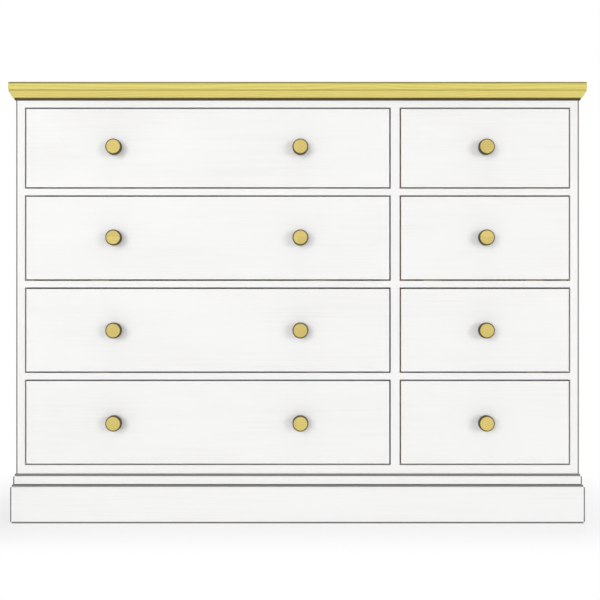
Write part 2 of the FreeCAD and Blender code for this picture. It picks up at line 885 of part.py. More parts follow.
def tail_outlines(count, low, high, root, tip, gap):
    """Dovetails between two heights, seen from the side: narrow at the root, wide at the tip."""
    pitch = (high - low) / count
    length = tip - root if tip.value > root.value else root - tip
    half_tip = pitch * size.tail_width_share / 2 + gap
    half_root = half_tip - length * size.tail_slope_share
    outlines = []
    for k in range(count):
        middle = low + pitch * (k + 0.5)
        outlines.append([
            (root, middle - half_root),
            (root, middle + half_root),
            (tip, middle + half_tip),
            (tip, middle - half_tip),
        ])
    return outlines


def knob_profile():
    """Half of a knob from its face to the end of its spigot, outwards from its axis."""
    face_radius = size.knob_radius - size.knob_rim_round
    crown = size.knob_crown
    dome = (face_radius * face_radius + crown * crown) / (2 * crown)
    shoulder = size.knob_projection - crown
    rim_back = size.knob_projection - size.knob_rim_height
    neck_top = size.knob_foot_height + size.knob_neck_height
    return [
        (0, -size.knob_projection, dome),
        (face_radius, -shoulder, size.knob_rim_round),
        (size.knob_radius, size.knob_rim_round - shoulder),
        (size.knob_radius, -rim_back),
        (size.knob_neck_radius, -neck_top),
        (size.knob_neck_radius, -size.knob_foot_height),
        (size.knob_foot_radius, 0),
        (size.spigot_radius, 0),
        (size.spigot_radius, size.front_thickness),
        (0, size.front_thickness),
    ]


class Drawer:
    """The lengths that the pieces of one drawer share, measured from the floor of its opening."""

    def __init__(self, name, left, opening, floor, height, knob_count):
        self.name = name
        self.place = (left + opening / 2, face_y, floor)
        self.knob_count = knob_count
        self.half = derive(f"{name}_half", opening / 2 - size.drawer_gap)
        self.inner_half = self.half - size.side_thickness
        self.front_low = size.drawer_gap
        self.front_high = derive(f"{name}_front_high", height - size.drawer_gap)
        self.side_high = derive(f"{name}_side_high", height - size.side_drop)
        self.tails = int(size.front_tail_count.value)
        lowest_tail = self.front_low + (self.side_high - self.front_low) / self.tails / 2
        groove_half = size.bottom_thickness / 2 + size.joint_gap
        self.groove_low = derive(f"{name}_groove_low", lowest_tail - groove_half)
        self.groove_high = derive(f"{name}_groove_high", lowest_tail + groove_half)
        self.back_high = derive(f"{name}_back_high", self.side_high - size.box_back_drop)
        self.back_near = drawer_length - size.box_back_thickness
        self.knob_up = derive(f"{name}_knob_up", height / 2)
        self.knob_across = as_length(0)
        if knob_count > 1:
            self.knob_across = derive(f"{name}_knob_across", opening / 2 - opening * size.knob_place_share)

    def front_tails(self, gap):
        """Tails of the sides in the drawer's front."""
        return tail_outlines(self.tails, self.front_low, self.side_high,
                             size.front_thickness, size.dovetail_lap - gap, gap)

    def back_tails(self, gap):
        """Tails of the sides in the drawer's back."""
        return tail_outlines(int(size.back_tail_count.value), self.groove_high, self.back_high,
                             self.back_near, drawer_length, gap)

    def build_front(self):
        """The painted front, with blind dovetail sockets, a groove for the bottom and holes for the knobs."""
        body = new_body(f"{self.name}_front", *self.place)
        thickness = size.front_thickness
        add(body, "XZ", [rect(-self.half, self.front_low, self.half, self.front_high)], 0, thickness)
        lines = [
            {"y": 0, "z": self.front_low},
            {"y": 0, "z": self.front_high},
            {"y": 0, "x": -self.half},
            {"y": 0, "x": self.half},
        ]
        ease(body, "Fillet", "Radius", size.front_edge_round, lines)
        depth = size.side_thickness + size.joint_gap
        sockets = cut(body, "YZ", self.front_tails(size.joint_gap), self.half - depth, depth)
        mirror(body, [sockets])
        groove = rect(-self.inner_half, self.groove_low, self.inner_half, self.groove_high)
        cut(body, "XZ", [groove], thickness - size.groove_depth, size.groove_depth)
        hole = size.spigot_radius + size.joint_gap
        holes = cut(body, "XZ", [disc(self.knob_across, self.knob_up, hole)], 0, thickness)
        if self.knob_count > 1:
            mirror(body, [holes])
        keep(body)

    def build_box(self):
        """Two sides and a back, dovetailed together."""
        sides = new_body(f"{self.name}_sides", *self.place)
        length = drawer_length
        near = size.front_thickness
        board = [
            (near, size.running_gap),
            (length, size.running_gap),
            (length, self.groove_high),
            (self.back_near, self.groove_high),
            (self.back_near, self.back_high),
            (length, self.back_high),
            (length, self.side_high),
            (near, self.side_high),
        ]
        thickness = size.side_thickness
        plank = add(sides, "YZ", [board], self.inner_half, thickness)
        front_tails = add(sides, "YZ", self.front_tails(0), self.inner_half, thickness)
        back_tails = add(sides, "YZ", self.back_tails(0), self.inner_half, thickness)
        groove = rect(size.dovetail_lap, self.groove_low, length, self.groove_high)
        grooved = cut(sides, "YZ", [groove], self.inner_half, size.groove_depth)
        mirror(sides, [plank, front_tails, back_tails, grooved])
        back = new_body(f"{self.name}_back", *self.place)
        gap = size.joint_gap
        face = rect(-self.half, self.groove_high + gap, self.half, self.back_high - gap)
        add(back, "XZ", [face], self.back_near + gap, size.box_back_thickness - gap)
        sockets = cut(back, "YZ", self.back_tails(gap), self.inner_half - gap, thickness + gap)
        mirror(back, [sockets])
        group(f"{self.name}_box", [sides, back])

    def build_bottom(self):
        """The thin bottom, slid into the grooves from behind."""
        body = new_body(f"{self.name}_bottom", *self.place)
        half = self.inner_half + size.groove_depth - size.bottom_slack
        near = size.front_thickness - size.groove_depth + size.bottom_slack
        add(body, "XY", [rect(-half, near, half, drawer_length)],
            self.groove_low + size.joint_gap, size.bottom_thickness)
        keep(body)

    def build_knobs(self):
        """Turned knobs, each with a spigot through the front."""
        label = f"{self.name}_knobs" if self.knob_count > 1 else f"{self.name}_knob"
        body = new_body(label, *self.place)
        turned = turn_about(body, "XY", knob_profile(), self.knob_up, self.knob_across)
        if self.knob_count > 1:
            mirror(body, [turned])
        keep(body)

    def build(self):
        """Makes every piece of the drawer."""
        self.build_front()
        self.build_box()
        self.build_bottom()
        self.build_knobs()


def all_drawers():
    """Four wide drawers on the left and four narrow ones on the right."""
    drawers = []
    for column, left, opening, knob_count in (("wide", wide_left, size.wide_opening, 2),
                                              ("narrow", narrow_left, size.narrow_opening, 1)):
        for number, (floor, height) in enumerate(ROWS, start=1):
            drawers.append(Drawer(f"{column}_drawer_{number}", left, opening, floor, height, knob_count))
    return drawers


def build_case():
    """Makes everything that stands still."""
    plinth()
    base_moulding()
    side_panel("side_panel_left", LEFT_HAND, case_left)
    side_panel("side_panel_right", RIGHT_HAND, -case_left)
    centre_partition()
    base_board()
    top_rail("front_top_rail", "front", as_length(0), size.rail_depth, size.screw_edge_distance)
    rear_screws = size.case_depth - size.screw_edge_distance
    top_rail("rear_top_rail", "rear", rear_rail_start, inner_depth, rear_screws)
    drawer_rails("drawer_rails_left", wide_left, wide_right)
    drawer_rails("drawer_rails_right", narrow_left, narrow_right)
    drawer_runners("drawer_runners_left", wide_left, wide_right)
    drawer_runners("drawer_runners_right", narrow_left, narrow_right)
    top_kickers()
    drawer_stops()
    back_boards()
    cornice()
    top_board()
    assembly_screws()


def check_document():
    """Stops if any object failed or any sub-part has no sound shape."""
    for item in doc.Objects:
        if "Invalid" in item.State or "Error" in item.State:
            raise RuntimeError(f"{item.Label} failed: {item.State}")
    for label, item in nodes.items():
        if item.Shape.isNull() or not item.Shape.isValid() or not item.Shape.Solids:
            raise RuntimeError(f"{label} has no sound shape")


def write_parts():
    """Writes each sub-part to a file of its own."""
    os.makedirs("parts", exist_ok=True)
    for label, item in nodes.items():
        item.Shape.exportStep(f"parts/{label}.step")


drawers = all_drawers()
doc.recompute()
build_case()
for drawer in drawers:
    drawer.build()
doc.recompute()
check_document()
write_parts()
print(f"{len(nodes)} sub-parts, {sum(len(item.Shape.Solids) for item in nodes.values())} solids")
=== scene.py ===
"""Dresses a wide painted chest of drawers: brushed white paint on the case and the drawer fronts, a golden
wooden top, cornice and knobs, dovetailed pine drawers, and a bare boarded back held by pins."""
import json
import math
from typing import NamedTuple

import bmesh
import bpy
from bpy.props import FloatProperty, FloatVectorProperty, IntProperty, PointerProperty
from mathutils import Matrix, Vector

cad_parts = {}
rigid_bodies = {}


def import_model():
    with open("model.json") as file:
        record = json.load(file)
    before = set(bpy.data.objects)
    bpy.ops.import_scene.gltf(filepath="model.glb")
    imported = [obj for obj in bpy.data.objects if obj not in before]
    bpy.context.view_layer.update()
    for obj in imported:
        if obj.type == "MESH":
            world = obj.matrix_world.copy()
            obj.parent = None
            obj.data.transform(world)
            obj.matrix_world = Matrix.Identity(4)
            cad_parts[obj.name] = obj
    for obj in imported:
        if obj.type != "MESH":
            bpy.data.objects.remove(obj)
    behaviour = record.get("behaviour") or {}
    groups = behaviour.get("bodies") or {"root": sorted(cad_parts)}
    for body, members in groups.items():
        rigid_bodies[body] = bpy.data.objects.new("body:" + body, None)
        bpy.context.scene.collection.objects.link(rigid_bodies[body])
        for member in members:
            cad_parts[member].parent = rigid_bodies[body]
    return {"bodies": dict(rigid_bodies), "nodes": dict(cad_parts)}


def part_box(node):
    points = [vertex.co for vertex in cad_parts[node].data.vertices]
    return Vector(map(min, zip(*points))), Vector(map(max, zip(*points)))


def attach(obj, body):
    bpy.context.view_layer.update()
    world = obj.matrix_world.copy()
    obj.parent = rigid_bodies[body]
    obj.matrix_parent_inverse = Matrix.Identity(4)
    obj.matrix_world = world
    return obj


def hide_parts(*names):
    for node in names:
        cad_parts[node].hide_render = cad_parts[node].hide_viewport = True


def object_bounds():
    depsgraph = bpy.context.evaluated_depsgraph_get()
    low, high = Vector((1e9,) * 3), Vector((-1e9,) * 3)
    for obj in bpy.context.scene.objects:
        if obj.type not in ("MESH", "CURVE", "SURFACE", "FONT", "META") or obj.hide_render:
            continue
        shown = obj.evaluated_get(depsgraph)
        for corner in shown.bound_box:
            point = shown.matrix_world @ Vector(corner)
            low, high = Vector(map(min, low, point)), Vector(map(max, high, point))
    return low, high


bl_info = {
    "name": "Painted chest of drawers",
    "version": (1, 0, 0),
    "blender": (4, 5, 0),
    "location": "3D View > Sidebar > Chest",
    "description": "Paints, oils and pins a wide chest of drawers and sets it on a pale stage",
    "category": "Object",
}

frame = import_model()
CAD_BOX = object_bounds()
NODES = frame["nodes"]
DRAWERS = [body for body in frame["bodies"] if "drawer" in body]

# The chest's own planes, read from its pieces
CASE_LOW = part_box("side_panel_left")[0]
FACE_Y = CASE_LOW.y
INNER_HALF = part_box("front_top_rail")[1].x
FRONT_REAR_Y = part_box("wide_drawer_1_front")[1].y
BASE_LOW, BASE_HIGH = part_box("base_board")
TOP_LOW, TOP_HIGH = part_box("top_board")
BACK_LOW, BACK_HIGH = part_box("back_boards")
CORNICE_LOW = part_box("cornice_front")[0]

# A hair's breadth, and points that count as one
HAIR = 0.0004
SAME_POINT = 1e-6

# Turns that bring a board's grain to X and its width to Y, named by where the board lies
QUARTER = math.radians(90)
LYING_ACROSS = (0, 0, 0)
LYING_FRONT_TO_BACK = (0, 0, -QUARTER)
STANDING = (QUARTER, 0, QUARTER)
ON_EDGE_ACROSS = (-QUARTER, 0, 0)
ON_EDGE_FRONT_TO_BACK = (-QUARTER, -QUARTER, 0)

# Turns that point a pin's head
BACKWARDS = (-QUARTER, 0, 0)
DOWNWARDS = (2 * QUARTER, 0, 0)


# Settings

class PaintSettings(bpy.types.PropertyGroup):
    """Finish of the painted case and drawer fronts."""

    colour: FloatVectorProperty(
        name="Paint", description="Colour of the paint",
        subtype="COLOR", default=(0.93, 0.93, 0.925))
    thin_colour: FloatVectorProperty(
        name="Thin paint", description="Colour in the furrows of the brush",
        subtype="COLOR", default=(0.895, 0.89, 0.88))
    # Dark wax along the edges, also used as painted shade in the grooves, under the cornice, along the
    # drawer gaps and down the front corners
    wax_and_shade_colour: FloatVectorProperty(
        name="Dark wax", description="Colour of the wax that stays along edges and in grooves",
        subtype="COLOR", default=(0.11, 0.10, 0.09))
    # Painted shade round a drawer front's edges, along the dark gaps between the drawers
    front_shade_width: FloatProperty(
        name="Wax on drawer fronts", description="How far the wax goes round a drawer front's edges",
        unit="LENGTH", default=0.0015)
    # Painted shade down the case's rounded front corners
    case_corner_shade: FloatProperty(
        name="Wax on the case", description="Width of the wax down the case's front corners",
        unit="LENGTH", default=0.0042)
    # Painted shade in the corner under the cornice
    cornice_shade_height: FloatProperty(
        name="Wax under the cornice", description="Height of the wax in the corner under the cornice",
        unit="LENGTH", default=0.0018)
    # Painted shade down the strips' rounded front corners
    strip_corner_shade: FloatProperty(
        name="Wax on the strips' corners", description="Width of the wax down the strips' front corners",
        unit="LENGTH", default=0.0034)
    strip_wax: FloatProperty(
        name="Wax on the strips", description="Width of the wax along plinth and moulding",
        unit="LENGTH", default=0.002)
    # Heights of the painted shade in the grooves over the plinth and moulding and at their feet
    plinth_groove_shade: FloatProperty(
        name="Plinth groove", description="Height of the wax in the groove over the plinth",
        unit="LENGTH", default=0.0033)
    plinth_foot_shade: FloatProperty(
        name="Plinth foot", description="Height of the wax at the foot of the plinth",
        unit="LENGTH", default=0.0031)
    moulding_groove_shade: FloatProperty(
        name="Moulding groove", description="Height of the wax in the groove over the moulding",
        unit="LENGTH", default=0.0039)
    moulding_foot_shade: FloatProperty(
        name="Moulding foot", description="Height of the wax at the foot of the moulding",
        unit="LENGTH", default=0.0015)
    # How dark the painted shade is on a drawer front's edges
    front_shade_strength: FloatProperty(
        name="Strength on fronts", description="How much paint the wax hides on a drawer front's edges",
        subtype="FACTOR", default=0.8)
    strip_strength: FloatProperty(
        name="Strength on strips", description="How much paint the wax hides on the strips' edges",
        subtype="FACTOR", default=0.5)
    # How dark the painted shade is in the grooves and under the cornice
    groove_shade_strength: FloatProperty(
        name="Strength in grooves", description="How much paint the wax hides in the grooves",
        subtype="FACTOR", default=0.92)
    stroke_depth: FloatProperty(
        name="Stroke depth", description="Depth of the brush marks",
        unit="LENGTH", default=0.00025)
    lap: FloatProperty(
        name="Paint lap", description="How far the paint reaches into the drawer openings",
        unit="LENGTH", default=0.024)
    dovetail_lap: FloatProperty(
        name="Dovetail lap", description="Thickness of a drawer front before its dovetails",
        unit="LENGTH", default=0.0055)


class WoodSettings(bpy.types.PropertyGroup):
    """Colours and growth rings of the woods."""

    golden_early: FloatVectorProperty(
        name="Golden, early wood", description="Lighter tone of the top",
        subtype="COLOR", default=(0.79, 0.70, 0.198))
    golden_late: FloatVectorProperty(
        name="Golden, late wood", description="Darker tone of the top",
        subtype="COLOR", default=(0.65, 0.548, 0.126))
    # Paler than the top's tones, to paint light onto the cornice's downward-sloping face
    cornice_lit_early: FloatVectorProperty(
        name="Cornice, early wood", description="Lighter tone of the cornice",
        subtype="COLOR", default=(0.868, 0.748, 0.228))
    cornice_lit_late: FloatVectorProperty(
        name="Cornice, late wood", description="Darker tone of the cornice",
        subtype="COLOR", default=(0.728, 0.608, 0.16))
    turned_early: FloatVectorProperty(
        name="Knobs, early wood", description="Lighter tone of the knobs",
        subtype="COLOR", default=(0.785, 0.628, 0.211))
    turned_late: FloatVectorProperty(
        name="Knobs, late wood", description="Darker tone of the knobs",
        subtype="COLOR", default=(0.602, 0.457, 0.119))
    # Dark stain on the top's rim and edges, also used as painted shade on the knobs' sides and the
    # cornice's underside
    golden_stain_and_shade: FloatVectorProperty(
        name="Dark stain", description="Stain of the knobs' sides, the cornice's underside and the edges",
        subtype="COLOR", default=(0.03, 0.022, 0.006))
    rim_height: FloatProperty(
        name="Rim height", description="How far the dark line at the upper edge of the top reaches down",
        unit="LENGTH", default=0.0062)
    rim_width: FloatProperty(
        name="Rim width", description="How far the dark line at the upper edge of the top reaches inwards",
        unit="LENGTH", default=0.003)
    # Under the crown, painted shade darkens a knob's turned sides
    knob_crown: FloatProperty(
        name="Knob crown", description="Height of a knob's golden face, over its dark rim",
        unit="LENGTH", default=0.0017)
    edge_width: FloatProperty(
        name="Edge width", description="Width of the darker edges of top and cornice",
        unit="LENGTH", default=0.0015)
    edge_strength: FloatProperty(
        name="Edge strength", description="How dark the edges of top and cornice are",
        subtype="FACTOR", default=0.55)
    joint_width: FloatProperty(
        name="Joint width", description="How far polish darkens the wood from the joint of top and cornice",
        unit="LENGTH", default=0.0026)
    joint_strength: FloatProperty(
        name="Joint strength", description="How dark the joint of top and cornice is",
        subtype="FACTOR", default=0.3)
    # Painted shade on the cornice's recessed underside reaches this high
    soffit_height: FloatProperty(
        name="Soffit height", description="How far the dark underside reaches up the cornice",
        unit="LENGTH", default=0.0042)
    pine_early: FloatVectorProperty(
        name="Pine, early wood", description="Lighter tone of the drawer boxes",
        subtype="COLOR", default=(0.80, 0.63, 0.40))
    pine_late: FloatVectorProperty(
        name="Pine, late wood", description="Darker tone of the drawer boxes",
        subtype="COLOR", default=(0.68, 0.47, 0.25))
    bare_early: FloatVectorProperty(
        name="Bare pine, early wood", description="Lighter tone of the back and the runners",
        subtype="COLOR", default=(0.66, 0.51, 0.33))
    bare_late: FloatVectorProperty(
        name="Bare pine, late wood", description="Darker tone of the back and the runners",
        subtype="COLOR", default=(0.44, 0.28, 0.13))
    ply_early: FloatVectorProperty(
        name="Plywood", description="Lighter tone of the drawer bottoms",
        subtype="COLOR", default=(0.77, 0.62, 0.42))
    ply_late: FloatVectorProperty(
        name="Plywood, dark ply", description="Darker tone of the drawer bottoms",
        subtype="COLOR", default=(0.58, 0.41, 0.23))
    ply_pitch: FloatProperty(
        name="Ply pitch", description="Thickness of a light and a dark ply",
        unit="LENGTH", default=0.0024)
    ring_spacing: FloatProperty(
        name="Ring spacing", description="Distance between growth rings",
        unit="LENGTH", default=0.0042)
    veneer_spacing: FloatProperty(
        name="Veneer spacing", description="Distance between growth rings in the plywood's veneer",
        unit="LENGTH", default=0.011)
    plank_count: IntProperty(
        name="Planks", description="How many planks the top is glued from",
        default=5)


class PinSettings(bpy.types.PropertyGroup):
    """Pins that hold the back boards and the drawer bottoms."""

    board_count: IntProperty(
        name="Back boards", description="How many boards the back has",
        default=12)
    end_pins: IntProperty(
        name="Pins in an end", description="How many pins hold each end of a back board",
        default=2)
    head_radius: FloatProperty(
        name="Head radius", description="Radius of a pin's head",
        unit="LENGTH", default=0.0026)
    head_height: FloatProperty(
        name="Head height", description="How far a pin's head stands out",
        unit="LENGTH", default=0.0007)
    head_sides: IntProperty(
        name="Head sides", description="How many sides a pin's head has",
        default=16)
    crown_share: FloatProperty(
        name="Crown share", description="Radius of a head's flat top, as a share of its own",
        subtype="FACTOR", default=0.72)
    spacing: FloatProperty(
        name="Bottom pin spacing", description="Distance between pins under a drawer",
        unit="LENGTH", default=0.11)
    inset: FloatProperty(
        name="Bottom pin inset", description="Distance of the pins from a bottom's rear edge",
        unit="LENGTH", default=0.006)
    colour: FloatVectorProperty(
        name="Zinc", description="Colour of pins and screws",
        subtype="COLOR", default=(0.56, 0.57, 0.58))


class StageSettings(bpy.types.PropertyGroup):
    """Floor, lamps and camera."""

    floor_colour: FloatVectorProperty(
        name="Floor", description="Colour of the floor",
        subtype="COLOR", default=(0.84, 0.84, 0.83))
    floor_size: FloatProperty(
        name="Floor size", description="Width of the floor",
        unit="LENGTH", default=24)
    near_white: FloatProperty(
        name="White at the chest", description="Share of plain white in the floor close to the chest",
        subtype="FACTOR", default=0.72)
    white_reach: FloatProperty(
        name="White reach", description="How far from the chest the floor turns plain white",
        unit="LENGTH", default=0.3)
    camera_distance: FloatProperty(
        name="Camera distance", description="From the chest's face to the camera",
        unit="LENGTH", default=2.4)
    camera_aside: FloatProperty(
        name="Camera aside", description="How far right of the middle the camera stands",
        unit="LENGTH", default=0.0056)
    camera_height: FloatProperty(
        name="Camera height", description="Height of the camera over the floor",
        unit="LENGTH", default=0.5073)
    view_width: FloatProperty(
        name="View width", description="Width of the picture at the chest's face",
        unit="LENGTH", default=1.3672)
    key_power: FloatProperty(
        name="Key lamp", description="Power of the large lamp in front",
        unit="POWER", default=296)
    fill_power: FloatProperty(
        name="Fill lamp", description="Power of the lamp on the right",
        unit="POWER", default=200)
    overhead_power: FloatProperty(
        name="Overhead lamp", description="Power of the lamp overhead",
        unit="POWER", default=26)
    rear_power: FloatProperty(
        name="Rear lamp", description="Power of the lamp behind",
        unit="POWER", default=55)
    world_strength: FloatProperty(
        name="Room light", description="Light from all sides",
        default=0.32)


# Short calls for node trees

class Wiring:
    """Adds nodes to one tree and feeds them."""

    def __init__(self, tree):
        self.tree = tree

    def feed(self, socket, value):
        """Links a socket, or sets it where the value is plain."""
        if isinstance(value, bpy.types.NodeSocket):
            self.tree.links.new(value, socket)
        else:
            socket.default_value = value

    def add(self, kind, inputs=None, **settings):
        """Adds a node with its settings, then feeds the inputs that are named or numbered."""
        node = self.tree.nodes.new(kind)
        for name, value in settings.items():
            setattr(node, name, value)
        for key, value in (inputs or {}).items():
            self.feed(node.inputs[key], value)
        return node

    def effect(self, name, maker, inputs):
        """Adds a node group that several materials share, made at its first use."""
        tree = once(bpy.data.node_groups, name, maker)
        return self.add("ShaderNodeGroup", inputs, node_tree=tree).outputs

    def math(self, operation, *values, clamp=False):
        """One operation on up to three numbers."""
        inputs = dict(enumerate(values))
        return self.add("ShaderNodeMath", inputs, operation=operation, use_clamp=clamp).outputs[0]

    def span(self, across, along):
        """Length of a step that goes so far across and so far along."""
        squares = [self.math("POWER", part, 2) for part in (across, along)]
        return self.math("SQRT", self.math("ADD", *squares))

    def noise(self, vector, waves, detail=2):
        """Soft noise with so many waves to a metre along each axis."""
        stretched = self.add("ShaderNodeVectorMath", {0: vector, 1: waves}, operation="MULTIPLY")
        inputs = {"Vector": stretched.outputs[0], "Scale": 1, "Detail": detail}
        return self.add("ShaderNodeTexNoise", inputs).outputs[0]

    def step(self, value, start, end):
        """Rises smoothly from 0 at the start to 1 at the end."""
        inputs = {"Value": value, "From Min": start, "From Max": end}
        return self.add("ShaderNodeMapRange", inputs, interpolation_type="SMOOTHSTEP").outputs[0]

    def fall(self, value, start, end):
        """Falls smoothly from 1 at the start to 0 at the end."""
        return self.math("SUBTRACT", 1, self.step(value, start, end))

    def blend(self, factor, first, second):
        """Mixes two colours."""
        return self.add("ShaderNodeMix", {0: factor, 6: first, 7: second}, data_type="RGBA").outputs[2]

    def split(self, vector):
        """The three parts of a vector."""
        return self.add("ShaderNodeSeparateXYZ", {0: vector}).outputs

    def join(self, across, along, up):
        """A vector from three numbers."""
        return self.add("ShaderNodeCombineXYZ", {0: across, 1: along, 2: up}).outputs[0]

    def place(self):
        """Where a point lies in the chest."""
        return self.add("ShaderNodeTexCoord").outputs["Object"]

    def facing(self):
        """Which way the surface itself faces."""
        return self.add("ShaderNodeNewGeometry").outputs["True Normal"]

    def turned(self, vector, turn, shift=(0, 0, 0)):
        """A vector as it lies to a board, with the board's grain turned to X."""
        inputs = {"Vector": vector, "Rotation": turn, "Location": shift}
        return self.add("ShaderNodeMapping", inputs).outputs[0]

    def bump(self, height, distance):
        """A normal that follows a height."""
        inputs = {"Height": height, "Distance": distance, "Strength": 1}
        return self.add("ShaderNodeBump", inputs).outputs[0]


def once(store, name, maker):
    """What Blender's store holds under a name, made at its first use."""
    return store.get(name) or maker(name)


def opaque(colour):
    """A colour with its alpha."""
    return (*colour, 1)


def new_group(name, inputs, outputs, kind="ShaderNodeTree"):
    """An empty node group with named sockets: its tree, its wiring, its inputs and its outputs."""
    tree = bpy.data.node_groups.new(name, kind)
    for side, sockets in (("INPUT", inputs), ("OUTPUT", outputs)):
        for label, socket_type in sockets.items():
            tree.interface.new_socket(label, in_out=side, socket_type=socket_type)
    wiring = Wiring(tree)
    return tree, wiring, wiring.add("NodeGroupInput").outputs, wiring.add("NodeGroupOutput").inputs


def new_material(name):
    """A material with a bare Principled shader: the material, its wiring and the shader's inputs."""
    material = bpy.data.materials.new(name)
    material.use_nodes = True
    material.node_tree.nodes.clear()
    wiring = Wiring(material.node_tree)
    shader = wiring.add("ShaderNodeBsdfPrincipled")
    wiring.add("ShaderNodeOutputMaterial", {"Surface": shader.outputs["BSDF"]})
    return material, wiring, shader.inputs


# Effects that several finishes share

FLOAT = "NodeSocketFloat"
VECTOR = "NodeSocketVector"

# Waves to a metre along, across and through a board: of its log, of its rings and of its fibres
LOG_WAVES = (1.3, 6, 6)
RING_WAVES = (8, 55, 55)
FIBRE_WAVES = (12, 620, 620)

# How far the log's and the rings' waves move a ring, and how far along its log a plank may start
LOG_SWAY = 0.045
RING_SWAY = 0.0022
LOG_LENGTH = 37

# The least share that a plank's pith has of its full depth
LEAST_PITH_SHARE = 0.6

# Shares of a ring between which its late wood sets in, and between which it ends
LATE_WOOD_SHARES = (0.25, 0.82)
RING_END_SHARES = (0.86, 1)

# How dark rings and fibres are, as shares of the late wood's tone
RING_TONE_SHARE = 0.62
FIBRE_TONE_SHARE = 0.45

# Waves to a metre of a brush's furrows, of a coat's mottle and of the wax
FURROW_WAVES = (5, 330, 330)
MOTTLE_WAVES = (3, 9, 9)
WAX_WAVES = (25, 25, 25)

# How much an edge turns where wax starts to stay, and where it stays in full
WAXED_TURNS = (0.01, 0.2)

# Unevenness of the wax: the least share that stays, and what its waves add
LEAST_WAX_SHARE = 0.5
WAX_WAVE_SHARE = 0.6


def growth_rings_group(name):
    """Growth rings and fibres of planks whose grain runs along X, each plank cut from its own log."""
    tree, wiring, source, sink = new_group(
        name,
        {"Vector": VECTOR, "Plank Width": FLOAT, "Plank Thickness": FLOAT, "Ring Spacing": FLOAT,
         "Pith Depth": FLOAT},
        {"Rings": FLOAT, "Fibre": FLOAT, "Plank": FLOAT})
    along, across, through = wiring.split(source["Vector"])
    row = wiring.math("FLOOR", wiring.math("DIVIDE", across, source["Plank Width"]))
    layer = wiring.math("FLOOR", wiring.math("DIVIDE", through, source["Plank Thickness"]))
    plank = wiring.join(row, layer, 0)
    chance = wiring.add("ShaderNodeTexWhiteNoise", {"Vector": plank}, noise_dimensions="3D").outputs
    aside, depth, start = wiring.split(chance["Color"])
    middle = wiring.math("MULTIPLY", wiring.math("ADD", row, aside), source["Plank Width"])
    from_pith_across = wiring.math("SUBTRACT", across, middle)
    in_layer = wiring.math("SUBTRACT", through, wiring.math("MULTIPLY", layer, source["Plank Thickness"]))
    pith = wiring.math("MULTIPLY", source["Pith Depth"], wiring.math("ADD", depth, LEAST_PITH_SHARE))
    from_pith_through = wiring.math("ADD", in_layer, pith)
    straight_radius = wiring.span(from_pith_across, from_pith_through)
    place = wiring.join(wiring.math("MULTIPLY_ADD", start, LOG_LENGTH, along), across, through)
    swayed = wiring.math("MULTIPLY_ADD", wiring.noise(place, LOG_WAVES), LOG_SWAY, straight_radius)
    radius = wiring.math("MULTIPLY_ADD", wiring.noise(place, RING_WAVES), RING_SWAY, swayed)
    phase = wiring.math("FRACT", wiring.math("DIVIDE", radius, source["Ring Spacing"]))
    late = wiring.step(phase, *LATE_WOOD_SHARES)
    ended = wiring.step(phase, *RING_END_SHARES)
    wiring.feed(sink["Rings"], wiring.math("SUBTRACT", late, ended))
    wiring.feed(sink["Fibre"], wiring.noise(place, FIBRE_WAVES, detail=3))
    wiring.feed(sink["Plank"], chance["Value"])
    return tree


def brush_marks_group(name):
    """Furrows that a brush leaves along X, and the slow unevenness of a hand-painted coat."""
    tree, wiring, source, sink = new_group(name, {"Vector": VECTOR}, {"Furrow": FLOAT, "Mottle": FLOAT})
    wiring.feed(sink["Furrow"], wiring.noise(source["Vector"], FURROW_WAVES, detail=4))
    wiring.feed(sink["Mottle"], wiring.noise(source["Vector"], MOTTLE_WAVES, detail=3))
    return tree


def wax_lines_group(name):
    """Thin lines along the edges, where dark wax stays when a coat is wiped, a little uneven."""
    tree, wiring, source, sink = new_group(name, {"Vector": VECTOR, "Width": FLOAT}, {"Line": FLOAT})
    softened = wiring.add("ShaderNodeBevel", {"Radius": source["Width"]}, samples=8).outputs[0]
    plain = wiring.add("ShaderNodeNewGeometry").outputs["Normal"]
    agreement = wiring.add("ShaderNodeVectorMath", {0: softened, 1: plain}, operation="DOT_PRODUCT")
    turn = wiring.math("SUBTRACT", 1, agreement.outputs["Value"])
    lines = wiring.step(turn, *WAXED_TURNS)
    waves = wiring.noise(source["Vector"], WAX_WAVES)
    uneven = wiring.math("MULTIPLY_ADD", waves, WAX_WAVE_SHARE, LEAST_WAX_SHARE)
    wiring.feed(sink["Line"], wiring.math("MULTIPLY", lines, uneven, clamp=True))
    return tree


def wax_lines(wiring, vector, width):
    """Places the wax lines in a material."""
    return wiring.effect("wax lines", wax_lines_group, {"Vector": vector, "Width": width})["Line"]


class Boards(NamedTuple):
    """How the boards of a piece are sawn, and where their grain lies."""

    turn: tuple  # brings the grain to X and the width to Y
    width: float  # of one plank
    thickness: float  # of one layer of planks, at least the piece's own
    pith: float  # depth of the log's middle under a plank
    shift: tuple = (0, 0, 0)  # brings an edge of the first plank to zero


def pine_boards(turn):
    """Broad pine boards, as in the case and the drawers."""
    return Boards(turn, width=0.21, thickness=0.45, pith=0.05)


def rings(wiring, vector, boards, spacing):
    """Places the growth rings of the boards in a material."""
    inputs = {"Vector": vector, "Plank Width": boards.width, "Plank Thickness": boards.thickness,
              "Ring Spacing": spacing, "Pith Depth": boards.pith}
    return wiring.effect("growth rings", growth_rings_group, inputs)


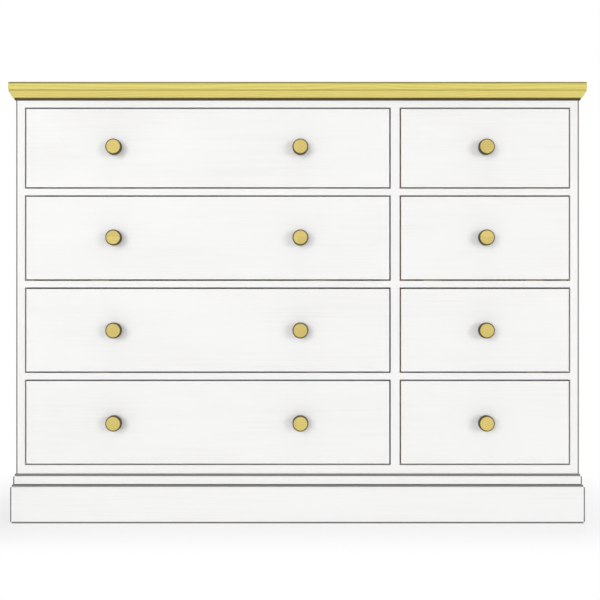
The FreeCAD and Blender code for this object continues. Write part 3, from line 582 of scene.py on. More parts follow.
def wood_colour(wiring, grown, tones, plank_spread):
    """Early and late wood, with finer fibres and a tone of its own for each plank."""
    early, late = tones
    fibre = wiring.math("MULTIPLY", grown["Fibre"], FIBRE_TONE_SHARE)
    depth = wiring.math("MULTIPLY_ADD", grown["Rings"], RING_TONE_SHARE, fibre, clamp=True)
    plain = wiring.blend(depth, opaque(early), opaque(late))
    bright = wiring.math("MULTIPLY_ADD", grown["Plank"], plank_spread, 1 - plank_spread / 2)
    return wiring.add("ShaderNodeHueSaturation", {"Color": plain, "Value": bright}).outputs[0]


# Paint

# Roughness of the coat, what its mottle adds and what bare wood adds
COAT_ROUGHNESS = 0.36
MOTTLE_ROUGHNESS = 0.22
BARE_ROUGHNESS = 0.22

# Unevenness of the brush marks between which the paint turns thin
THIN_PAINT = (0.12, 0.5)

# How much of the rings' relief shows through the paint, and how far planks differ where it is left off
RINGS_THROUGH_PAINT = 0.18
PAINTED_PLANK_SPREAD = 0.14

# Waves to a metre of the paint's ragged end inside the case, and how far they reach
LAP_WAVES = (60, 60, 60)
LAP_REACH = 0.006

# How squarely a drawer front's edge faces out where the painted shade on it starts to end and where it has
# ended
SHADED_FRONT_FACING = (0.8, 0.99)

# How squarely a surface faces a side to count as an end of a drawer front
END_FACING = 0.5


def bare_inside_case(wiring):
    """Where the case is bare: behind the paint's lap, between its uprights."""
    coordinates = wiring.place()
    across, along, up = wiring.split(coordinates)
    ragged = wiring.math("MULTIPLY_ADD", wiring.noise(coordinates, LAP_WAVES), LAP_REACH, along)
    lap_end = FACE_Y + bpy.context.scene.chest_paint.lap
    behind = wiring.step(ragged, lap_end, lap_end + HAIR)
    inside = wiring.math("LESS_THAN", wiring.math("ABSOLUTE", across), INNER_HALF + HAIR)
    over_base = wiring.math("GREATER_THAN", up, BASE_HIGH.z - HAIR)
    return wiring.math("MULTIPLY", wiring.math("MULTIPLY", behind, inside), over_base)


def bare_behind_front(wiring):
    """Where a drawer front is bare: its rear face, and the ends of its pins between the dovetails."""
    along = wiring.split(wiring.place())[1]
    aside = wiring.math("ABSOLUTE", wiring.split(wiring.facing())[0])
    on_end = wiring.math("GREATER_THAN", aside, END_FACING)
    rear = wiring.math("GREATER_THAN", along, FRONT_REAR_Y - HAIR)
    past_lap = wiring.math("GREATER_THAN", along, FACE_Y + bpy.context.scene.chest_paint.dovetail_lap)
    return wiring.math("MAXIMUM", rear, wiring.math("MULTIPLY", on_end, past_lap))


def shaded_front_edges(wiring):
    """Painted shade on the rounded edges of a drawer front and just round them, along the gaps between the
    drawers.
    """
    paint = bpy.context.scene.chest_paint
    along = wiring.split(wiring.place())[1]
    outwards = wiring.math("MULTIPLY", wiring.split(wiring.facing())[1], -1)
    on_edge = wiring.fall(outwards, *SHADED_FRONT_FACING)
    near = wiring.fall(along, FACE_Y + paint.front_shade_width, FACE_Y + 2 * paint.front_shade_width)
    return wiring.math("MULTIPLY", wiring.math("MULTIPLY", on_edge, near), paint.front_shade_strength)


def front_corner(wiring, low, width):
    """How near a point lies to one of the two front corners of the case or of a strip round it."""
    across, along, _ = wiring.split(wiring.place())
    aside = wiring.step(wiring.math("ABSOLUTE", across), -low.x - width, -low.x - width / 2)
    ahead = wiring.fall(along, low.y + width / 2, low.y + width)
    return wiring.math("MULTIPLY", aside, ahead)


def shaded_under_cornice(wiring):
    """Painted shade in the corner under the cornice."""
    paint = bpy.context.scene.chest_paint
    up = wiring.split(wiring.place())[2]
    edge = CORNICE_LOW.z - paint.cornice_shade_height
    return wiring.math("MULTIPLY", wiring.step(up, edge - HAIR, edge + HAIR), paint.groove_shade_strength)


def shaded_case(wiring):
    """Painted shade down the rounded front corners of the case and in the corner under its cornice, and
    none at the joints of its frame.
    """
    corners = front_corner(wiring, CASE_LOW, bpy.context.scene.chest_paint.case_corner_shade)
    return wiring.math("MAXIMUM", corners, shaded_under_cornice(wiring))


def waxed_and_shaded_strip(strip, turn, groove, foot):
    """Makes the darkening of a strip round the case: dark wax along its edges, and painted shade in the
    groove over it, at its foot and down its front corners.
    """
    low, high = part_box(f"{strip}_front")

    # Dark wax on the edges; painted shade in the groove, at the foot and down the front corners
    def wax(wiring):
        paint = bpy.context.scene.chest_paint
        coordinates = wiring.place()
        up = wiring.split(coordinates)[2]
        over = wiring.math("GREATER_THAN", up, high.z - groove - HAIR)
        under = wiring.math("LESS_THAN", up, low.z + foot + HAIR)
        grooves = wiring.math("MULTIPLY", wiring.math("MAXIMUM", over, under), paint.groove_shade_strength)
        edges = wax_lines(wiring, wiring.turned(coordinates, turn), paint.strip_wax)
        lines = wiring.math("MULTIPLY", edges, paint.strip_strength)
        corner = front_corner(wiring, low, paint.strip_corner_shade)
        return wiring.math("MAXIMUM", wiring.math("MAXIMUM", lines, grooves), corner)

    return wax


def painted(name, turn, bare_mask, wax):
    """Brushed white paint over pine, lined with dark wax and painted shade where the wax mask says, and
    left off where the bare mask says.
    """
    paint = bpy.context.scene.chest_paint
    wood = bpy.context.scene.chest_wood
    material, wiring, shader = new_material(name)
    vector = wiring.turned(wiring.place(), turn)
    marks = wiring.effect("brush marks", brush_marks_group, {"Vector": vector})
    grown = rings(wiring, vector, pine_boards(turn), wood.ring_spacing)
    thin = wiring.step(wiring.math("MULTIPLY", marks["Furrow"], marks["Mottle"]), *THIN_PAINT)
    clean = wiring.blend(thin, opaque(paint.colour), opaque(paint.thin_colour))
    # The wax mask brings dark wax on edges and painted shade in grooves, corners and gaps
    coat = wiring.blend(wax(wiring), clean, opaque(paint.wax_and_shade_colour))
    bare = bare_mask(wiring)
    pine = wood_colour(wiring, grown, (wood.pine_early, wood.pine_late), PAINTED_PLANK_SPREAD)
    wiring.feed(shader["Base Color"], wiring.blend(bare, coat, pine))
    coat_roughness = wiring.math("MULTIPLY_ADD", marks["Mottle"], MOTTLE_ROUGHNESS, COAT_ROUGHNESS)
    wiring.feed(shader["Roughness"], wiring.math("MULTIPLY_ADD", bare, BARE_ROUGHNESS, coat_roughness))
    height = wiring.math("MULTIPLY_ADD", grown["Rings"], RINGS_THROUGH_PAINT, marks["Furrow"])
    wiring.feed(shader["Normal"], wiring.bump(height, paint.stroke_depth))
    return material


# Woods and steel

class WoodFinish(NamedTuple):
    """How the surface of a wood is left."""

    roughness: float  # where the fibres are smoothest
    fibre_roughness: float  # what the fibres add
    fibre_height: float  # relief of the fibres
    ring_height_share: float  # what the rings add, as a share of that relief
    plank_spread: float  # how far planks differ in tone


OILED = WoodFinish(
    roughness=0.36, fibre_roughness=0.22, fibre_height=0.00018, ring_height_share=-0.4, plank_spread=0.16)
PLANED = WoodFinish(
    roughness=0.55, fibre_roughness=0.2, fibre_height=0.0002, ring_height_share=0, plank_spread=0.24)
SANDED = WoodFinish(
    roughness=0.5, fibre_roughness=0.2, fibre_height=0.00012, ring_height_share=0, plank_spread=0.12)

# Sheen of the oil, and how much of its coat the stain and painted shade take off
OIL_SPECULAR = 0.16
OIL_COAT = 0.1
OIL_COAT_ROUGHNESS = 0.35
COAT_LOST_TO_STAIN_AND_SHADE = 0.08

# Widths of the planks for the cornice's front and returns, so wide that each strip is one plank
STRIP_PLANK = 1
RETURN_PLANK = 3

# How deep the stain and painted shade go, and what the fibres add to that
STAIN_AND_SHADE_DEPTH = 0.88
FIBRE_STAIN_AND_SHADE = 0.15

# How squarely a surface faces along the grain where it turns to end grain, and how dark that is
END_GRAIN_FACING = (0.6, 0.95)
END_GRAIN_SHARE = 0.42

# Plywood: how squarely a surface faces up where its edge turns to veneer, and how soft its plies' lines are
VENEER_FACING = (0.4, 0.6)
PLY_SOFTNESS = 0.4

# Zinc: waves to a metre of its clouds, their relief and roughness, and the share of its colour in them
ZINC_WAVES = (700, 700, 700)
ZINC_RELIEF = 0.00005
ZINC_ROUGHNESS = 0.28
CLOUD_ROUGHNESS = 0.3
CLOUDED_SHARE = 0.55


def wooden(name, boards, spacing, finish):
    """Wood that lacks its colour: the material, its wiring, its shader's inputs and its growth rings."""
    material, wiring, shader = new_material(name)
    grown = rings(wiring, wiring.turned(wiring.place(), boards.turn, boards.shift), boards, spacing)
    roughness = wiring.math("MULTIPLY_ADD", grown["Fibre"], finish.fibre_roughness, finish.roughness)
    wiring.feed(shader["Roughness"], roughness)
    height = wiring.math("MULTIPLY_ADD", grown["Rings"], finish.ring_height_share, grown["Fibre"])
    wiring.feed(shader["Normal"], wiring.bump(height, finish.fibre_height))
    return material, wiring, shader, grown


# The stain argument brings stain on the top, and painted shade on the knobs' sides and the cornice's
# underside
def golden_wood(name, boards, tones, stain):
    """Oiled golden wood with a soft sheen, darkened where the mask says: stain on the top, painted shade on
    the knobs' sides and the cornice's underside.
    """
    wood = bpy.context.scene.chest_wood
    material, wiring, shader, grown = wooden(name, boards, wood.ring_spacing, OILED)
    plain = wood_colour(wiring, grown, tones, OILED.plank_spread)
    darkening = wiring.math("MULTIPLY_ADD", grown["Fibre"], FIBRE_STAIN_AND_SHADE, STAIN_AND_SHADE_DEPTH)
    depth = wiring.math("MULTIPLY", stain(wiring), darkening, clamp=True)
    wiring.feed(shader["Base Color"], wiring.blend(depth, plain, opaque(wood.golden_stain_and_shade)))
    coat = wiring.math("MULTIPLY_ADD", depth, -COAT_LOST_TO_STAIN_AND_SHADE, OIL_COAT, clamp=True)
    wiring.feed(shader["Coat Weight"], coat)
    shader["Coat Roughness"].default_value = OIL_COAT_ROUGHNESS
    shader["Specular IOR Level"].default_value = OIL_SPECULAR
    return material


def handled_edges(wiring):
    """Where hands and polish darken the golden wood: its edges, and the joint between top and cornice."""
    wood = bpy.context.scene.chest_wood
    coordinates = wiring.place()
    edges = wiring.math("MULTIPLY", wax_lines(wiring, coordinates, wood.edge_width), wood.edge_strength)
    from_joint = wiring.math("ABSOLUTE", wiring.math("SUBTRACT", wiring.split(coordinates)[2], TOP_LOW.z))
    near_joint = wiring.fall(from_joint, 0, wood.joint_width)
    return wiring.math("MAXIMUM", edges, wiring.math("MULTIPLY", near_joint, wood.joint_strength))


def stained_top(wiring):
    """Stain of the top: along its upper outer edge, and where it is handled."""
    wood = bpy.context.scene.chest_wood
    across, along, up = wiring.split(wiring.place())
    from_end = wiring.math("SUBTRACT", TOP_HIGH.x, wiring.math("ABSOLUTE", across))
    from_front = wiring.math("SUBTRACT", along, TOP_LOW.y)
    outer = wiring.fall(wiring.math("MINIMUM", from_end, from_front), 0, wood.rim_width)
    upper = wiring.step(up, TOP_HIGH.z - wood.rim_height, TOP_HIGH.z)
    return wiring.math("MAXIMUM", wiring.math("MULTIPLY", upper, outer), handled_edges(wiring))


def shaded_and_handled_cornice(wiring):
    """Painted shade on the cornice's recessed underside, and darker edges where it is handled."""
    up = wiring.split(wiring.place())[2]
    soffit = CORNICE_LOW.z + bpy.context.scene.chest_wood.soffit_height
    return wiring.math("MAXIMUM", wiring.fall(up, soffit - HAIR, soffit + HAIR), handled_edges(wiring))


def shaded_knob_sides(wiring):
    """Painted shade on a knob's turned sides, behind the domed face."""
    along = wiring.split(wiring.place())[1]
    rim = CAD_BOX[0].y + bpy.context.scene.chest_wood.knob_crown
    return wiring.step(along, rim - HAIR / 2, rim + HAIR / 2)


def raw_pine(name, boards, tones):
    """Planed pine without any finish, darker on its end grain."""
    _, late = tones
    spacing = bpy.context.scene.chest_wood.ring_spacing
    material, wiring, shader, grown = wooden(name, boards, spacing, PLANED)
    plain = wood_colour(wiring, grown, tones, PLANED.plank_spread)
    along_grain = wiring.math("ABSOLUTE", wiring.split(wiring.turned(wiring.facing(), boards.turn))[0])
    end_grain = wiring.math("MULTIPLY", wiring.step(along_grain, *END_GRAIN_FACING), END_GRAIN_SHARE)
    wiring.feed(shader["Base Color"], wiring.blend(end_grain, plain, opaque(late)))
    return material


def plywood():
    """Thin plywood: plain veneer on its faces, and its plies as lines along its edges."""
    wood = bpy.context.scene.chest_wood
    tones = (wood.ply_early, wood.ply_late)
    sheets = Boards(LYING_ACROSS, width=0.6, thickness=0.21, pith=0.09)
    material, wiring, shader, grown = wooden("plywood", sheets, wood.veneer_spacing, SANDED)
    veneer = wood_colour(wiring, grown, tones, SANDED.plank_spread)
    up = wiring.split(wiring.place())[2]
    plies = wiring.math("SINE", wiring.math("MULTIPLY", up, 2 * math.pi / wood.ply_pitch))
    dark_ply = wiring.step(plies, -PLY_SOFTNESS, PLY_SOFTNESS)
    edges = wiring.blend(dark_ply, opaque(wood.ply_early), opaque(wood.ply_late))
    flat = wiring.step(wiring.math("ABSOLUTE", wiring.split(wiring.facing())[2]), *VENEER_FACING)
    wiring.feed(shader["Base Color"], wiring.blend(flat, edges, veneer))
    return material


def zinc_steel(name):
    """Zinc-plated steel, clouded and a little dull."""
    zinc = bpy.context.scene.chest_pins.colour
    clouded = [part * CLOUDED_SHARE for part in zinc]
    material, wiring, shader = new_material(name)
    cloud = wiring.noise(wiring.place(), ZINC_WAVES, detail=3)
    wiring.feed(shader["Base Color"], wiring.blend(cloud, opaque(zinc), opaque(clouded)))
    wiring.feed(shader["Roughness"], wiring.math("MULTIPLY_ADD", cloud, CLOUD_ROUGHNESS, ZINC_ROUGHNESS))
    wiring.feed(shader["Normal"], wiring.bump(cloud, ZINC_RELIEF))
    shader["Metallic"].default_value = 1
    return material


def pin_steel():
    """The finish of pins and screws."""
    return once(bpy.data.materials, "zinc steel", zinc_steel)


def dress(names, material):
    """Gives each named piece of the chest one finish."""
    for name in names:
        if name not in NODES:
            raise RuntimeError(f"the chest has no piece named {name}")
        slots = NODES[name].data.materials
        slots.clear()
        slots.append(material)


# Drawer boards and pins

def link_mesh(name, mesh):
    """Puts a mesh in the scene as an object at the origin."""
    piece = bpy.data.objects.new(name, mesh)
    bpy.context.scene.collection.objects.link(piece)
    return piece


def islands(boards):
    """The separate boards of a mesh, as lists of their corners."""
    left = set(boards.verts)
    found = []
    while left:
        island = []
        waiting = [left.pop()]
        while waiting:
            vertex = waiting.pop()
            island.append(vertex)
            for edge in vertex.link_edges:
                neighbour = edge.other_vert(vertex)
                if neighbour in left:
                    left.remove(neighbour)
                    waiting.append(neighbour)
        found.append(island)
    return found


def drawer_boards(drawer, part):
    """Copies the sides, or the back, out of a drawer's joined box."""
    low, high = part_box(f"{drawer}_box")
    middle = (low.x + high.x) / 2
    boards = bmesh.new()
    boards.from_mesh(NODES[f"{drawer}_box"].data)
    bmesh.ops.remove_doubles(boards, verts=boards.verts, dist=SAME_POINT)
    unwanted = []
    for island in islands(boards):
        reach = [vertex.co.x - middle for vertex in island]
        spans_both = min(reach) < 0 < max(reach)
        if spans_both != (part == "back"):
            unwanted.extend(island)
    bmesh.ops.delete(boards, geom=unwanted, context="VERTS")
    if not boards.faces:
        raise RuntimeError(f"{drawer} has no {part}")
    mesh = bpy.data.meshes.new(f"{drawer}_{part}")
    boards.to_mesh(mesh)
    boards.free()
    return link_mesh(mesh.name, mesh)


def pin_rows_tree(name):
    """Rows of pin heads: a line of points on each point of another line, and a head on every one."""
    tree, wiring, source, sink = new_group(
        name,
        {"Count": "NodeSocketInt", "Pitch": FLOAT, "Rows": "NodeSocketInt", "Row Pitch": FLOAT,
         "Head Radius": FLOAT, "Head Height": FLOAT, "Head Sides": "NodeSocketInt", "Crown Share": FLOAT,
         "Place": VECTOR, "Turn": "NodeSocketRotation", "Material": "NodeSocketMaterial"},
        {"Geometry": "NodeSocketGeometry"}, kind="GeometryNodeTree")
    across = wiring.join(source["Pitch"], 0, 0)
    aside = wiring.join(0, source["Row Pitch"], 0)
    row = wiring.add("GeometryNodeMeshLine", {"Count": source["Count"], "Offset": across}).outputs[0]
    rows = wiring.add("GeometryNodeMeshLine", {"Count": source["Rows"], "Offset": aside}).outputs[0]
    grid = wiring.add("GeometryNodeInstanceOnPoints", {"Points": rows, "Instance": row}).outputs[0]
    points = wiring.add("GeometryNodeRealizeInstances", {0: grid}).outputs[0]
    crown = wiring.math("MULTIPLY", source["Head Radius"], source["Crown Share"])
    head = wiring.add("GeometryNodeMeshCone", {
        "Vertices": source["Head Sides"], "Radius Top": crown, "Radius Bottom": source["Head Radius"],
        "Depth": source["Head Height"]}).outputs[0]
    heads = wiring.add("GeometryNodeInstanceOnPoints", {"Points": points, "Instance": head}).outputs[0]
    placed = wiring.add("GeometryNodeTransform", {
        "Geometry": heads, "Translation": source["Place"], "Rotation": source["Turn"]}).outputs[0]
    plain = wiring.add("GeometryNodeRealizeInstances", {0: placed}).outputs[0]
    finished = wiring.add("GeometryNodeSetMaterial", {"Geometry": plain, "Material": source["Material"]})
    wiring.feed(sink["Geometry"], finished.outputs[0])
    return tree


def pin_rows(name, first, turn, count, pitch, rows=1, row_pitch=0):
    """Pin heads in rows from the first one, as a plain mesh."""
    pins = bpy.context.scene.chest_pins
    tree = once(bpy.data.node_groups, "pin rows", pin_rows_tree)
    values = {
        "Count": count, "Pitch": pitch, "Rows": rows, "Row Pitch": row_pitch,
        "Head Radius": pins.head_radius, "Head Height": pins.head_height, "Head Sides": pins.head_sides,
        "Crown Share": pins.crown_share, "Place": first, "Turn": turn, "Material": pin_steel(),
    }
    maker = link_mesh(f"{name}_maker", bpy.data.meshes.new(f"{name}_maker"))
    modifier = maker.modifiers.new("Pin rows", "NODES")
    modifier.node_group = tree
    for item in tree.interface.items_tree:
        if item.in_out == "INPUT":
            modifier[item.identifier] = values[item.name]
    evaluated = maker.evaluated_get(bpy.context.evaluated_depsgraph_get())
    mesh = bpy.data.meshes.new_from_object(evaluated)
    bpy.data.objects.remove(maker)
    if not mesh.polygons:
        raise RuntimeError(f"{name} came out empty")
    mesh.name = name
    return link_mesh(name, mesh)


# Stage

WHITE = (1, 1, 1)
FLOOR_ROUGHNESS = 0.9


class Lamp(NamedTuple):
    """Where a round lamp hangs, and how wide it is."""

    place: tuple
    width: float


LAMPS = {
    "key": Lamp(place=(-3.3, -7.9, 1.6), width=5.2),
    "fill": Lamp(place=(5.3, -7.0, 1.2), width=3.7),
    "overhead": Lamp(place=(0.2, 0.1, 3.0), width=2.4),
    "rear": Lamp(place=(1.2, 3.6, 2.0), width=2.4),
}


def seen_directly(wiring):
    """1 for what the camera sees, also in a reflection or through glass."""
    path = wiring.add("ShaderNodeLightPath").outputs
    reflected = wiring.math("MAXIMUM", path["Is Glossy Ray"], path["Is Transmission Ray"])
    return wiring.math("MAXIMUM", path["Is Camera Ray"], reflected)


def pale_floor(stage):
    """A pale matt finish that keeps the chest's shadow and runs out into white."""
    material, wiring, shader = new_material("pale floor")
    shader["Base Color"].default_value = opaque(stage.floor_colour)
    shader["Roughness"].default_value = FLOOR_ROUGHNESS
    across, along, _ = wiring.split(wiring.place())
    aside = wiring.math("SUBTRACT", wiring.math("ABSOLUTE", across), CAD_BOX[1].x)
    ahead = wiring.math("SUBTRACT", wiring.math("ABSOLUTE", along), CAD_BOX[1].y)
    away = wiring.span(wiring.math("MAXIMUM", aside, 0), wiring.math("MAXIMUM", ahead, 0))
    rise = wiring.step(away, 0, stage.white_reach)
    whiteness = wiring.math("MULTIPLY_ADD", rise, 1 - stage.near_white, stage.near_white)
    seen_white = wiring.math("MULTIPLY", seen_directly(wiring), whiteness)
    white = wiring.add("ShaderNodeEmission", {"Color": opaque(WHITE), "Strength": 1}).outputs[0]
    surface = wiring.tree.nodes["Principled BSDF"].outputs[0]
    mixed = wiring.add("ShaderNodeMixShader", {0: seen_white, 1: surface, 2: white}).outputs[0]
    wiring.feed(wiring.tree.nodes["Material Output"].inputs["Surface"], mixed)
    return material


def lay_floor(context):
    """A level floor under the chest."""
    stage = context.scene.chest_stage
    half = stage.floor_size / 2
    corners = [(-half, -half, 0), (half, -half, 0), (half, half, 0), (-half, half, 0)]
    mesh = bpy.data.meshes.new("floor")
    mesh.from_pydata(corners, [], [(0, 1, 2, 3)])
    mesh.materials.append(pale_floor(stage))
    floor = link_mesh("floor", mesh)


def light_room(context):
    """Even light from all sides, seen as plain white."""
    strength = context.scene.chest_stage.world_strength
    world = bpy.data.worlds.new("studio")
    world.use_nodes = True
    world.node_tree.nodes.clear()
    wiring = Wiring(world.node_tree)
    even = wiring.add("ShaderNodeBackground", {"Color": opaque(WHITE), "Strength": strength}).outputs[0]
    white = wiring.add("ShaderNodeBackground", {"Color": opaque(WHITE), "Strength": 1}).outputs[0]
    mixed = wiring.add("ShaderNodeMixShader", {0: seen_directly(wiring), 1: even, 2: white}).outputs[0]
    wiring.add("ShaderNodeOutputWorld", {"Surface": mixed})
    context.scene.world = world


def hang_lamps(context):
    """Large soft lamps that face the middle of the chest."""
    stage = context.scene.chest_stage
    target = (CAD_BOX[0] + CAD_BOX[1]) / 2
    for name, (place, width) in LAMPS.items():
        lamp = bpy.data.lights.new(name, "AREA")
        lamp.shape = "DISK"
        lamp.size = width
        lamp.energy = getattr(stage, f"{name}_power")
        holder = bpy.data.objects.new(name, lamp)
        holder.location = place
        holder.rotation_euler = (target - holder.location).to_track_quat("-Z", "Y").to_euler()
        context.scene.collection.objects.link(holder)


def place_camera(context):
    """A level camera square to the chest's face."""
    stage = context.scene.chest_stage
    lens = bpy.data.cameras.new("camera")
    lens.lens = lens.sensor_width * stage.camera_distance / stage.view_width
    camera = bpy.data.objects.new("camera", lens)
    camera.location = (stage.camera_aside, FACE_Y - stage.camera_distance, stage.camera_height)
    camera.rotation_euler = (QUARTER, 0, 0)
    context.scene.collection.objects.link(camera)
    context.scene.camera = camera


# Operators

class CHEST_OT_paint_case(bpy.types.Operator):
    """Paints the uprights, rails, plinth and base moulding"""

    bl_idname = "chest.paint_case"
    bl_label = "Paint the case"

    def execute(self, context):
        paint = context.scene.chest_paint
        upright = painted("white paint, upright", STANDING, bare_inside_case, shaded_case)
        across = painted("white paint, across", ON_EDGE_ACROSS, bare_inside_case, shaded_under_cornice)
        dress(["side_panel_left", "side_panel_right", "centre_partition"], upright)
        dress(["base_board", "front_top_rail", "drawer_rails_left", "drawer_rails_right"], across)
        strips = {
            "plinth": (paint.plinth_groove_shade, paint.plinth_foot_shade),
            "base_moulding": (paint.moulding_groove_shade, paint.moulding_foot_shade),
        }
        runs = {
            "front": (ON_EDGE_ACROSS, ["front"]),
            "returns": (ON_EDGE_FRONT_TO_BACK, ["left", "right"]),
        }
        for strip, (groove, foot) in strips.items():
            for run, (turn, sides) in runs.items():
                wax = waxed_and_shaded_strip(strip, turn, groove, foot)
                finish = painted(f"white paint, {strip} {run}", turn, bare_inside_case, wax)
                dress([f"{strip}_{side}" for side in sides], finish)
        return {"FINISHED"}


class CHEST_OT_paint_drawer_fronts(bpy.types.Operator):
    """Paints the drawer fronts and leaves their rear faces bare"""

    bl_idname = "chest.paint_drawer_fronts"
    bl_label = "Paint the drawer fronts"

    def execute(self, context):
        front = painted("white paint, drawer fronts", ON_EDGE_ACROSS, bare_behind_front, shaded_front_edges)
        dress([f"{drawer}_front" for drawer in DRAWERS], front)
        return {"FINISHED"}


class CHEST_OT_oil_top(bpy.types.Operator):
    """Oils the wooden top and the cornice under it"""

    bl_idname = "chest.oil_top"
    bl_label = "Oil the top and cornice"

    def execute(self, context):
        wood = context.scene.chest_wood
        plank = (TOP_HIGH.y - TOP_LOW.y) / wood.plank_count
        to_front_edge = (0, -TOP_LOW.y, -TOP_LOW.z)
        to_underside = (0, 0, -TOP_LOW.z)
        planks = Boards(LYING_ACROSS, plank, thickness=0.1, pith=0.045, shift=to_front_edge)
        strips = Boards(LYING_ACROSS, STRIP_PLANK, thickness=0.1, pith=0.11, shift=to_front_edge)
        returned = Boards(LYING_FRONT_TO_BACK, RETURN_PLANK, thickness=0.1, pith=0.11, shift=to_underside)
        top_tones = (wood.golden_early, wood.golden_late)
        # The cornice's tones are painted paler, making up for the light its sloping face lacks
        cornice_lit_tones = (wood.cornice_lit_early, wood.cornice_lit_late)
        top = golden_wood("golden wood, top", planks, top_tones, stained_top)
        cornice = golden_wood("golden wood, cornice", strips, cornice_lit_tones, shaded_and_handled_cornice)
        returns = golden_wood("golden wood, returns", returned, cornice_lit_tones, shaded_and_handled_cornice)
        dress(["top_board"], top)
        dress(["cornice_front", "cornice_back"], cornice)
        dress(["cornice_left", "cornice_right"], returns)
        return {"FINISHED"}


class CHEST_OT_oil_knobs(bpy.types.Operator):
    """Oils the turned knobs"""

    bl_idname = "chest.oil_knobs"
    bl_label = "Oil the knobs"

    def execute(self, context):
        wood = context.scene.chest_wood
        blanks = Boards(LYING_FRONT_TO_BACK, width=0.11, thickness=0.13, pith=0.04)
        tones = (wood.turned_early, wood.turned_late)
        turned = golden_wood("golden wood, turned", blanks, tones, shaded_knob_sides)
        dress([name for name in NODES if "_knob" in name], turned)
        return {"FINISHED"}


class CHEST_OT_leave_bare(bpy.types.Operator):
    """Gives bare pine to the back, the runners, the stops and the blocks, and zinc to the screws"""

    bl_idname = "chest.leave_bare"
    bl_label = "Leave the back and runners bare"

    def execute(self, context):
        wood = context.scene.chest_wood
        tones = (wood.bare_early, wood.bare_late)
        board = (BACK_HIGH.x - BACK_LOW.x) / context.scene.chest_pins.board_count
        to_first_board = (0, -BACK_LOW.x, -BACK_LOW.y)
        upright = Boards(STANDING, board, thickness=0.1, pith=0.05, shift=to_first_board)
        lengthwise = Boards(LYING_FRONT_TO_BACK, width=0.2, thickness=0.21, pith=0.03)
        across = Boards(LYING_ACROSS, width=0.5, thickness=0.21, pith=0.03)
        back = raw_pine("bare pine, back", upright, tones)
        runners = raw_pine("bare pine, runners", lengthwise, tones)
        rails = raw_pine("bare pine, rails", across, tones)
        dress(["back_boards"], back)
        dress(["drawer_runners_left", "drawer_runners_right", "top_kickers"], runners)
        dress(["rear_top_rail", "drawer_stops", "plinth_corner_blocks"], rails)
        dress(["plinth_back", "base_moulding_back"], rails)
        dress(["assembly_screws"], pin_steel())
        return {"FINISHED"}


class CHEST_OT_join_drawers(bpy.types.Operator):
    """Shows the drawers' dovetailed sides and backs as boards of their own, over plywood bottoms"""

    bl_idname = "chest.join_drawers"
    bl_label = "Join the drawer boxes"

    def execute(self, context):
        wood = context.scene.chest_wood
        tones = (wood.pine_early, wood.pine_late)
        finishes = {
            "sides": raw_pine("drawer pine, sides", pine_boards(ON_EDGE_FRONT_TO_BACK), tones),
            "back": raw_pine("drawer pine, backs", pine_boards(ON_EDGE_ACROSS), tones),
        }
        for drawer in DRAWERS:
            for part, finish in finishes.items():
                boards = drawer_boards(drawer, part)
                boards.data.materials.append(finish)
                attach(boards, drawer)
                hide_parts(f"{drawer}_box")
        dress([f"{drawer}_bottom" for drawer in DRAWERS], plywood())
        return {"FINISHED"}


class CHEST_OT_pin_back(bpy.types.Operator):
    """Drives pins into both ends of every back board"""

    bl_idname = "chest.pin_back"
    bl_label = "Pin the back boards"

    def execute(self, context):
        pins = context.scene.chest_pins
        rail_low, rail_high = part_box("rear_top_rail")
        low = (BASE_LOW.z + BASE_HIGH.z) / 2
        high = (rail_low.z + rail_high.z) / 2
        count = pins.end_pins * pins.board_count
        pitch = (BACK_HIGH.x - BACK_LOW.x) / count
        first = (BACK_LOW.x + pitch / 2, BACK_HIGH.y, low)
        heads = pin_rows("back_pins", first, BACKWARDS, count, pitch, rows=2, row_pitch=low - high)
        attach(heads, "case")
        return {"FINISHED"}


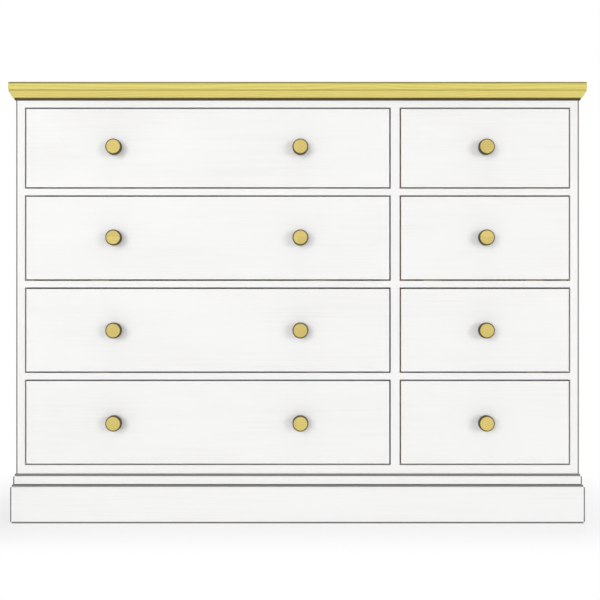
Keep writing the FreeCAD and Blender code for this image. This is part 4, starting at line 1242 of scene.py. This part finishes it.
class CHEST_OT_pin_drawer_bottoms(bpy.types.Operator):
    """Drives pins through the drawer bottoms into the drawers' backs"""

    bl_idname = "chest.pin_drawer_bottoms"
    bl_label = "Pin the drawer bottoms"

    def execute(self, context):
        pins = context.scene.chest_pins
        for drawer in DRAWERS:
            low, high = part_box(f"{drawer}_bottom")
            count = round((high.x - low.x) / pins.spacing)
            pitch = (high.x - low.x) / count
            first = (low.x + pitch / 2, high.y - pins.inset, low.z)
            heads = pin_rows(f"{drawer}_pins", first, DOWNWARDS, count, pitch)
            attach(heads, drawer)
        return {"FINISHED"}


class CHEST_OT_set_stage(bpy.types.Operator):
    """Lays the floor, hangs the lamps and places the camera"""

    bl_idname = "chest.set_stage"
    bl_label = "Set the stage"

    def execute(self, context):
        lay_floor(context)
        light_room(context)
        hang_lamps(context)
        place_camera(context)
        context.scene.view_settings.view_transform = "Standard"
        return {"FINISHED"}


# Panel and registration

SETTINGS = {
    "chest_paint": PaintSettings,
    "chest_wood": WoodSettings,
    "chest_pins": PinSettings,
    "chest_stage": StageSettings,
}
STEPS = [
    CHEST_OT_paint_case,
    CHEST_OT_paint_drawer_fronts,
    CHEST_OT_oil_top,
    CHEST_OT_oil_knobs,
    CHEST_OT_leave_bare,
    CHEST_OT_join_drawers,
    CHEST_OT_pin_back,
    CHEST_OT_pin_drawer_bottoms,
    CHEST_OT_set_stage,
]


class CHEST_PT_sidebar(bpy.types.Panel):
    """Lists the chest's settings and steps"""

    bl_idname = "CHEST_PT_sidebar"
    bl_label = "Chest of drawers"
    bl_space_type = "VIEW_3D"
    bl_region_type = "UI"
    bl_category = "Chest"

    def draw(self, context):
        for name, settings in SETTINGS.items():
            box = self.layout.box()
            for setting in settings.__annotations__:
                box.prop(getattr(context.scene, name), setting)
        for step in STEPS:
            self.layout.operator(step.bl_idname)


def register():
    """Adds the settings, the steps and the panel."""
    for name, settings in SETTINGS.items():
        bpy.utils.register_class(settings)
        setattr(bpy.types.Scene, name, PointerProperty(type=settings))
    for step in STEPS:
        bpy.utils.register_class(step)
    bpy.utils.register_class(CHEST_PT_sidebar)


def unregister():
    """Takes away what register added."""
    bpy.utils.unregister_class(CHEST_PT_sidebar)
    for step in reversed(STEPS):
        bpy.utils.unregister_class(step)
    for name, settings in reversed(SETTINGS.items()):
        delattr(bpy.types.Scene, name)
        bpy.utils.unregister_class(settings)


def main():
    """Runs every step."""
    register()
    for step in STEPS:
        group, name = step.bl_idname.split(".")
        getattr(getattr(bpy.ops, group), name)()


if __name__ == "__main__":
    main()
